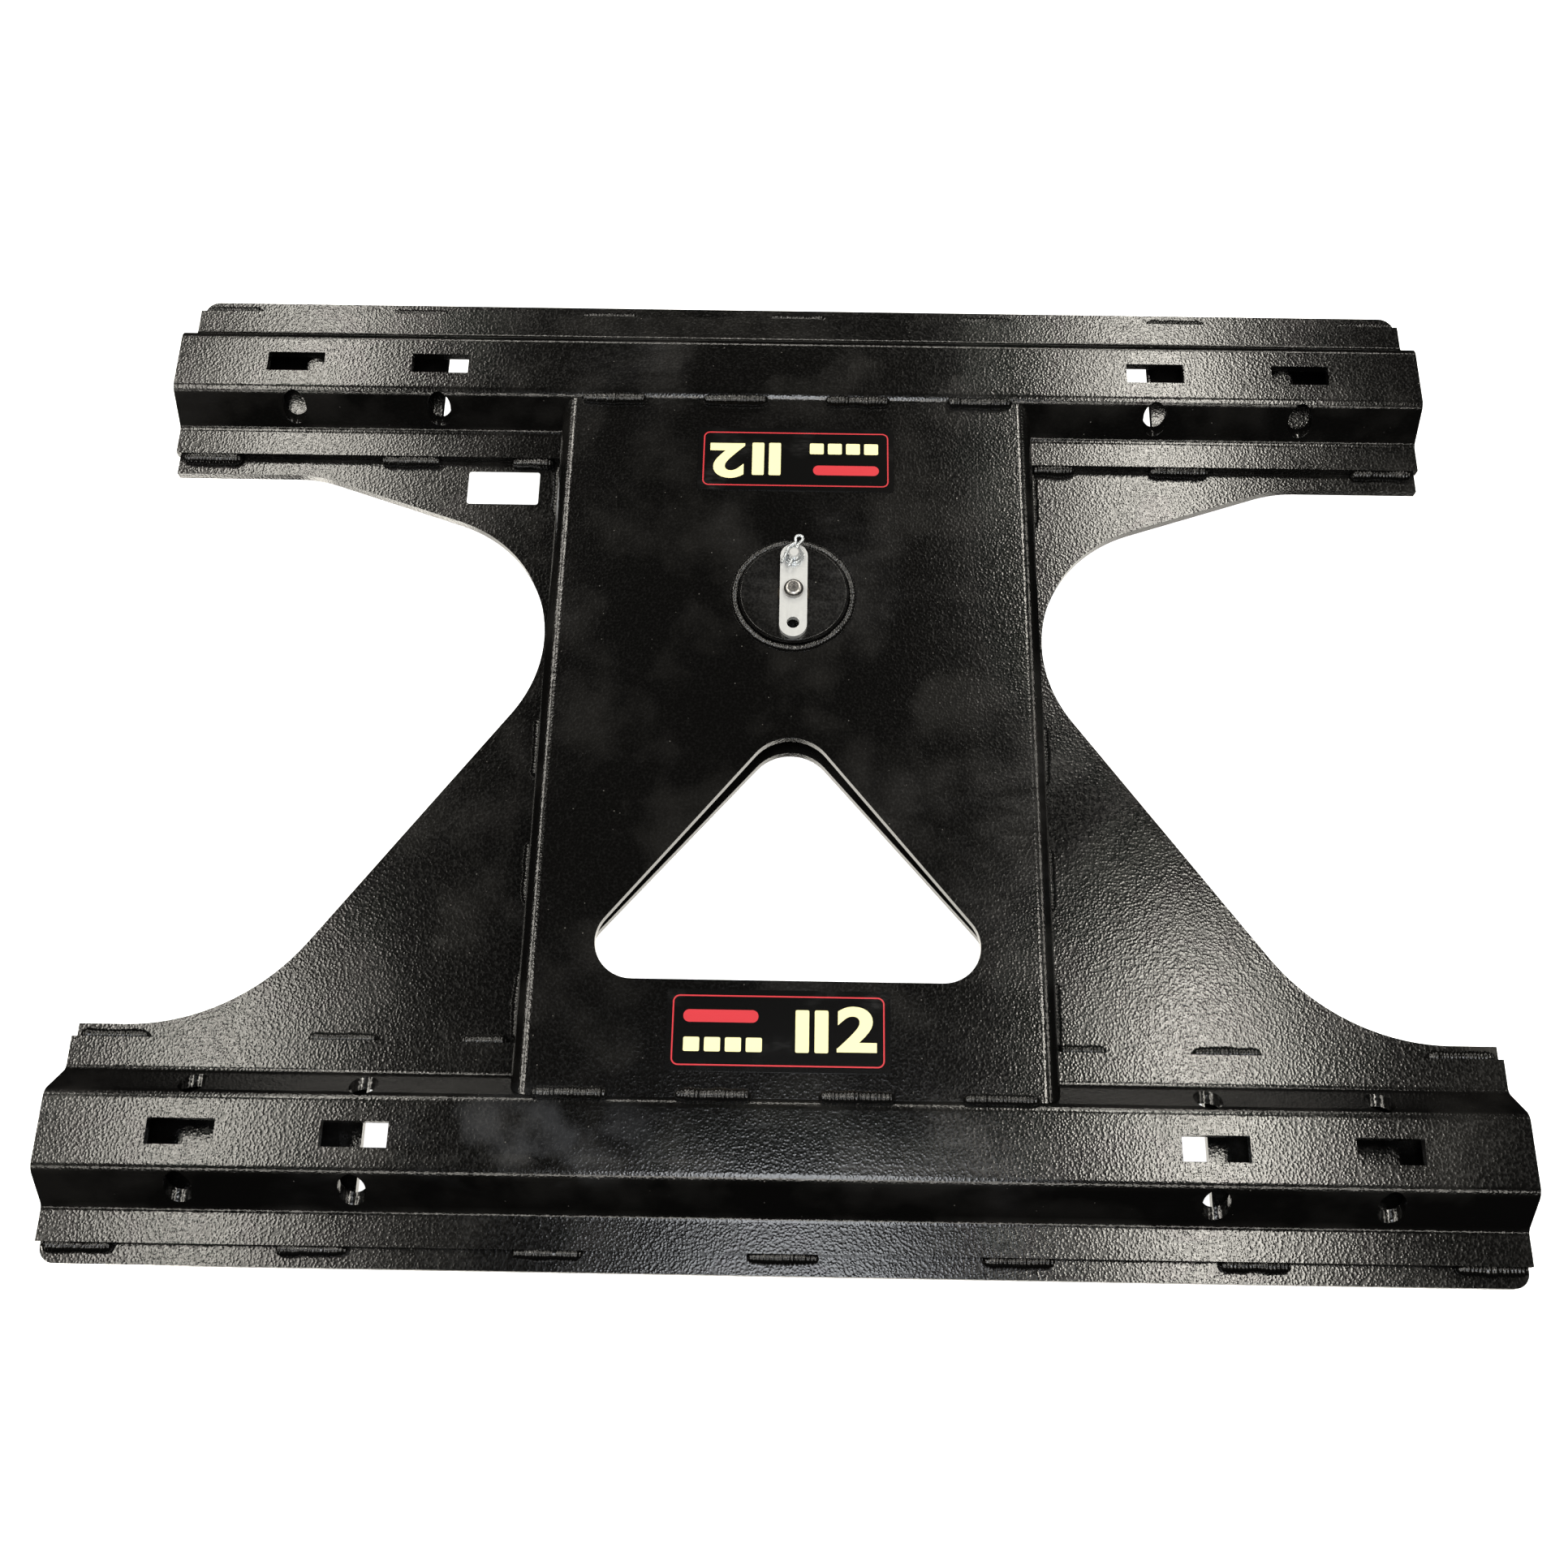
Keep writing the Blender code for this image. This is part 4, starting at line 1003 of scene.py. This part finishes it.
@dataclass
class LockTrain:
    """The lock arm, its screw, stud, washer and clip, and what they drive inside the post."""

    frame: dict
    shop: FinishShop
    wire_radius: float = 1.1 * MM
    eye_radius: float = 2.6 * MM
    eye_place: float = 13.0 * MM
    tail: float = 9.7 * MM
    stud_clear: float = 5.45 * MM

    def build(self) -> None:
        """Dress the visible lock pieces and give the inner ones their metals."""
        dressed = {
            "lock_arm": (0.45 * MM, Finish.ZINC, "zinc", "lock_arm"),
            "arm_screw": (0.2 * MM, Finish.SCREW_STEEL, "dark_steel", "lock_arm"),
            "arm_stud": (0.25 * MM, Finish.ZINC, "zinc", "lock_arm"),
            "stud_washer": (0.3 * MM, Finish.BRIGHT_ZINC, "zinc", "lock_arm"),
            "plunger_left": (0.3 * MM, Finish.GROUND_STEEL, "ground_steel", "plunger_left"),
            "plunger_right": (0.3 * MM, Finish.GROUND_STEEL, "ground_steel", "plunger_right"),
            "post_cover": (0.5 * MM, Finish.GROUND_STEEL, "ground_steel", "root"),
            "cover_ring": (0.25 * MM, Finish.SCREW_STEEL, "dark_steel", "root"),
        }
        for node, (width, finish, slot, body) in dressed.items():
            piece = refined_copy(self.frame["nodes"][node], f"{node}_finished", width)
            self.shop.paint(piece, finish)
            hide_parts(node)
            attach(piece, body)
            LOG.info("%s: %d faces", piece.name, len(piece.data.polygons))
        inner = {
            "lock_shaft": Finish.GROUND_STEEL,
            "lock_cam": Finish.GROUND_STEEL,
            "cam_screw": Finish.SCREW_STEEL,
            "follower_left": Finish.GROUND_STEEL,
            "follower_right": Finish.GROUND_STEEL,
            "upper_bush": Finish.BRONZE,
            "lower_bush": Finish.BRONZE,
            "thrust_washer": Finish.BRONZE,
        }
        for node, finish in inner.items():
            for place in self.frame["nodes"][node].material_slots:
                place.material = self.shop.get(finish)
        self.clip()

    def clip_route(self) -> list[Point]:
        """The wire's centre line, (across, along) from the stud, along the way it pulls out.

        Returns:
            Points from the straight leg's tip, round the eye, to the free leg's tail.
        """
        wire = 2 * self.wire_radius
        neck_x = -(wire + 0.15 * MM)
        neck_y = self.eye_place - self.eye_radius * 1.35
        leg = [(0.0, -self.tail), (0.0, -self.tail * 0.3), (0.0, neck_y * 0.6), (0.0, neck_y)]
        centre = (neck_x / 2, self.eye_place)
        turn = [math.radians(-35 + 250 * i / 16) for i in range(17)]
        eye = [(centre[0] + self.eye_radius * math.cos(a), centre[1] + self.eye_radius * math.sin(a)) for a in turn]
        bulge = []
        for i in range(15):
            share = i / 14
            y = neck_y + (-self.tail * 0.92 - neck_y) * share
            ease = min(share / 0.26, 1.0)
            ease = ease * ease * (3 - 2 * ease)
            flare = 0.5 * MM * max(0.0, (share - 0.8) / 0.2)
            bulge.append((neck_x + (-self.stud_clear - neck_x) * ease - flare, y))
        return leg + eye + bulge

    def clip(self) -> None:
        """Bend the hairpin clip from round wire, in place of the frame's plainer one."""
        pull = next(joint for joint in self.frame["joints"] if joint["name"] == "clip_pull")
        along = Vector(pull["axis"]).normalized()
        across = Vector((along.y, -along.x, 0.0))
        stud_low, stud_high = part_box("arm_stud")
        clip_low, clip_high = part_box("retaining_clip")
        origin = (stud_low + stud_high) / 2
        origin.z = (clip_low.z + clip_high.z) / 2
        curve = bpy.data.curves.new("hairpin_clip", "CURVE")
        curve.dimensions = "3D"
        curve.bevel_depth = self.wire_radius
        curve.bevel_resolution = 5
        curve.resolution_u = 6
        curve.use_fill_caps = True
        route = self.clip_route()
        spline = curve.splines.new("NURBS")
        spline.points.add(len(route) - 1)
        for point, (x, y) in zip(spline.points, route):
            point.co = (*(origin + across * x + along * y), 1.0)
        spline.order_u = 4
        spline.use_endpoint_u = True
        piece = settle(link_piece("hairpin_clip", curve))
        weld_mesh(piece, 50.0)
        self.shop.paint(piece, Finish.BRIGHT_ZINC)
        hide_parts("retaining_clip")
        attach(piece, "retaining_clip")
        LOG.info("%s: %d faces", piece.name, len(piece.data.polygons))


@dataclass
class Decal:
    """A bordered black sticker with plain bars and one plain numeral."""

    node: str
    numeral: str
    turned: bool
    shop: FinishShop
    border_inset: float = 3.6 * MM
    border_width: float = 0.9 * MM
    border_radius: float = 4.5 * MM
    ink: float = 0.05 * MM
    bar_height: float = 27 * MM
    bar_width: float = 8.5 * MM
    small_bar: float = 10 * MM
    small_bar_height: float = 9 * MM
    bar_places: tuple[float, ...] = (15 * MM, 27 * MM)
    small_bar_places: tuple[float, ...] = (-54 * MM, -41 * MM, -28 * MM, -15 * MM)
    numeral_place: float = 49 * MM
    numeral_height: float = 1.42
    numeral_stretch: float = 1.3
    numeral_weight: float = 1.3 * MM

    def build(self) -> None:
        """Cut the sheet and lay the border, the bars and the numeral on it."""
        low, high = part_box(self.node)
        centre, size = (low + high) / 2, high - low
        place = Matrix.Translation((centre.x, centre.y, 0.0))
        if self.turned:
            place = place @ Matrix.Rotation(math.pi, 4, "Z")
        sheet = flat_piece(f"{self.node}_sheet", [rounded_rectangle(size.x, size.y, 1.5 * MM)], low.z, size.z)
        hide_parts(self.node)
        border = []
        for step in (0.0, self.border_width):
            inset = 2 * (self.border_inset + step)
            border.append(rounded_rectangle(size.x - inset, size.y - inset, self.border_radius - step))
        top = high.z
        red = [flat_piece("border", border, top, self.ink)]
        red.append(self.block(-36 * MM, 9 * MM, 47 * MM, 8 * MM, top, 4 * MM))
        cream = [self.block(x, 0.0, self.bar_width, self.bar_height, top, 1 * MM) for x in self.bar_places]
        for x in self.small_bar_places:
            cream.append(self.block(x, -9 * MM, self.small_bar, self.small_bar_height, top, 1 * MM))
        cream.append(self.digit(self.numeral_place, top))
        prints = {
            f"{self.node}_red_print": (join_meshes(f"{self.node}_red_print", red), Finish.RED_INK),
            f"{self.node}_cream_print": (join_meshes(f"{self.node}_cream_print", cream), Finish.CREAM_INK),
        }
        self.fix(sheet, Finish.BLACK_VINYL, place)
        for piece, finish in prints.values():
            self.fix(piece, finish, place)

    def fix(self, piece: bpy.types.Object, finish: Finish, place: Matrix) -> None:
        """Put a piece in its place on the cover and give it its finish.

        Args:
            piece: a part of the sticker, drawn around the origin.
            finish: its ink or vinyl.
            place: where the sticker lies.
        """
        piece.data.transform(place)
        self.shop.paint(piece, finish)
        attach(piece, "root")
        LOG.info("%s: %d faces", piece.name, len(piece.data.polygons))

    def block(
        self, x: float, y: float, length: float, width: float, bottom: float, radius: float
    ) -> bpy.types.Object:
        """One printed bar with rounded corners."""
        outline = [(x + u, y + v) for u, v in rounded_rectangle(length, width, min(radius, width / 2 * 0.95))]
        return flat_piece("bar", [outline], bottom, self.ink)

    def digit(self, x: float, bottom: float) -> bpy.types.Object:
        """Cut the plain numeral, as tall as the bars.

        Args:
            x: its middle along the sticker.
            bottom: the height that it is printed on.

        Returns:
            The numeral's mesh object.
        """
        curve = bpy.data.curves.new("numeral", "FONT")
        curve.body = self.numeral
        curve.align_x = "CENTER"
        curve.align_y = "CENTER"
        curve.size = self.bar_height * self.numeral_height
        curve.offset = self.numeral_weight
        curve.extrude = self.ink / 2
        curve.resolution_u = 6
        piece = link_piece("numeral", curve)
        piece.location = (x, 0.0, bottom + self.ink / 2)
        piece.scale.x = self.numeral_stretch
        piece = settle(piece)
        weld_mesh(piece)
        return piece


@dataclass
class SideLabel:
    """The small blank paper label on the plate."""

    shop: FinishShop
    corner: float = 2.0 * MM

    def build(self) -> None:
        """Cut the label with rounded corners."""
        low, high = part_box("side_label")
        centre, size = (low + high) / 2, high - low
        sheet = flat_piece("side_label_paper", [rounded_rectangle(size.x, size.y, self.corner)], low.z, size.z)
        sheet.data.transform(Matrix.Translation((centre.x, centre.y, 0.0)))
        self.shop.paint(sheet, Finish.LABEL_PAPER)
        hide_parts("side_label")
        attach(sheet, "root")
        LOG.info("%s: %d faces", sheet.name, len(sheet.data.polygons))


# ---------------------------------------------------------------- studio


@dataclass(frozen=True)
class SoftBox:
    """One large soft light."""

    name: str
    place: tuple[float, float, float]
    aim: tuple[float, float, float]
    size: tuple[float, float]
    power: float
    colour: Colour = (1.0, 0.96, 0.87)

    def build(self) -> None:
        """Hang the light and turn it to its aim."""
        light = bpy.data.lights.new(self.name, "AREA")
        light.shape = "RECTANGLE"
        light.size, light.size_y = self.size
        light.energy = self.power
        light.color = self.colour
        lamp = bpy.data.objects.new(self.name, light)
        bpy.context.scene.collection.objects.link(lamp)
        lamp.location = self.place
        toward = Vector(self.aim) - Vector(self.place)
        lamp.rotation_euler = toward.to_track_quat("-Z", "Y").to_euler()


@dataclass(frozen=True)
class Studio:
    """A pale floor, soft boxes above, around and below the object, a pale backdrop and the camera."""

    camera_place: tuple[float, float, float] = (0.00212, -0.45549, 1.05438)
    camera_tilt: float = 0.38193
    camera_yaw: float = 0.00619
    camera_roll: float = 0.01823
    lens: float = 38.136
    floor_gap: float = 2 * MM
    floor_half: float = 4.0

    def build(self) -> None:
        """Lay the floor, hang the lights and place the camera."""
        self.floor()
        boxes = (
            SoftBox("left_near_box", (-0.89, -0.02, 1.50), (-0.42, -0.02, 0.0), (0.66, 0.17), 5.8),
            SoftBox("left_far_box", (-0.88, 1.25, 1.50), (-0.42, 1.25, 0.0), (0.86, 0.17), 8.8),
            SoftBox("right_near_box", (0.63, -0.02, 1.50), (0.30, -0.02, 0.0), (0.66, 0.16), 8.4),
            SoftBox("right_far_box", (0.63, 1.25, 1.50), (0.30, 1.25, 0.0), (0.86, 0.16), 11.0),
            SoftBox("near_box", (0.02, -0.62, 1.50), (0.02, -0.50, 0.0), (0.34, 0.90), 10.0, (0.93, 0.96, 1.0)),
            SoftBox("left_panel", (-1.60, 0.4, 1.5), (0.0, 0.4, 0.0), (2.2, 0.24), 20.0),
            SoftBox("right_panel", (1.75, 0.4, 1.5), (0.0, 0.4, 0.0), (2.2, 0.24), 11.0),
            SoftBox("near_panel", (0.0, -1.25, 1.5), (0.0, -0.1, 0.0), (2.6, 0.22), 13.0),
            SoftBox("far_panel", (0.0, 2.30, 1.5), (0.0, 0.3, 0.0), (2.6, 0.28), 18.0),
            SoftBox("under_panel", (0.0, 0.1, -1.4), (0.0, 0.1, 0.0), (2.6, 1.2), 20.0),
            SoftBox("under_strip", (-1.3, -0.6, -0.8), (0.0, 0.1, 0.0), (0.4, 1.6), 14.0),
        )
        for box in boxes:
            box.build()
        self.sky()
        self.camera()
        LOG.info("studio: %d lights", len(boxes))

    def floor(self) -> None:
        """A plain pale floor under the post's end, seen through from below."""
        shape = bmesh.new()
        bmesh.ops.create_grid(shape, x_segments=8, y_segments=8, size=self.floor_half)
        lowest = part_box("center_post")[0].z - self.floor_gap
        bmesh.ops.translate(shape, verts=shape.verts, vec=(0.0, 0.0, lowest))
        mesh = bpy.data.meshes.new("floor")
        shape.to_mesh(mesh)
        shape.free()
        piece = link_piece("floor", mesh)
        material, graph, shader, place = start_material("floor_paint")
        mottle = graph.noise(place, 3.0, 2.0).outputs["Fac"]
        tone = mix_colour(graph, mottle, (0.92, 0.92, 0.92), (0.95, 0.95, 0.95))
        seen = graph.add("ShaderNodeLightPath").outputs["Is Camera Ray"]
        graph.tree.links.new(tone, shader.inputs["Base Color"])
        shader.inputs["Roughness"].default_value = 0.9
        shader.inputs["Emission Color"].default_value = (1.0, 1.0, 1.0, 1.0)
        shader.inputs["Emission Strength"].default_value = 1.0
        behind = graph.add("ShaderNodeNewGeometry").outputs["Backfacing"]
        shown = graph.math("MULTIPLY", seen, graph.math("SUBTRACT", 1.0, behind))
        graph.tree.links.new(shown, shader.inputs["Alpha"])
        piece.data.materials.append(material)

    def sky(self) -> None:
        """A pale backdrop that gives the object only a dim even light."""
        world = bpy.data.worlds.new("studio_sky")
        bpy.context.scene.world = world
        world.use_nodes = True
        graph = Graph(world.node_tree)
        seen = graph.add("ShaderNodeLightPath").outputs["Is Camera Ray"]
        background = world.node_tree.nodes["Background"]
        background.inputs["Color"].default_value = (0.98, 0.99, 1.0, 1.0)
        graph.tree.links.new(graph.remap(seen, 0.0, 1.0, 0.008, 1.0), background.inputs["Strength"])

    def camera(self) -> None:
        """Stand the camera above the near rail, looking down and away."""
        data = bpy.data.cameras.new("camera")
        data.lens = self.lens
        data.sensor_width = 36.0
        camera = bpy.data.objects.new("camera", data)
        bpy.context.scene.collection.objects.link(camera)
        turn = (
            Matrix.Rotation(self.camera_yaw, 4, "Y")
            @ Matrix.Rotation(self.camera_tilt, 4, "X")
            @ Matrix.Rotation(self.camera_roll, 4, "Z")
        )
        camera.matrix_world = Matrix.Translation(self.camera_place) @ turn
        bpy.context.scene.camera = camera
        bpy.context.scene.view_settings.view_transform = "Standard"


# ---------------------------------------------------------------- main


def clear_scene() -> None:
    """Remove whatever the file starts with."""
    for item in list(bpy.data.objects):
        bpy.data.objects.remove(item, do_unlink=True)


def main() -> None:
    """Build the looks around the frame, sub-assembly by sub-assembly."""
    logging.basicConfig(level=logging.INFO, format="%(name)s: %(message)s")
    clear_scene()
    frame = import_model()
    shop = FinishShop()
    steps: list[tuple[str, Callable[[], None]]] = [
        ("studio", Studio().build),
        ("welded frame", WeldedFrame(frame, shop).build),
        ("stitches", Stitches(shop, weld_bead_tree(), spatter_tree()).build),
        ("lock train", LockTrain(frame, shop).build),
        ("front decal", Decal("front_decal", "2", True, shop).build),
        ("rear decal", Decal("rear_decal", "2", False, shop).build),
        ("side label", SideLabel(shop).build),
    ]
    for name, step in steps:
        step()
        LOG.info("%s done", name)


if __name__ == "__main__":
    main()
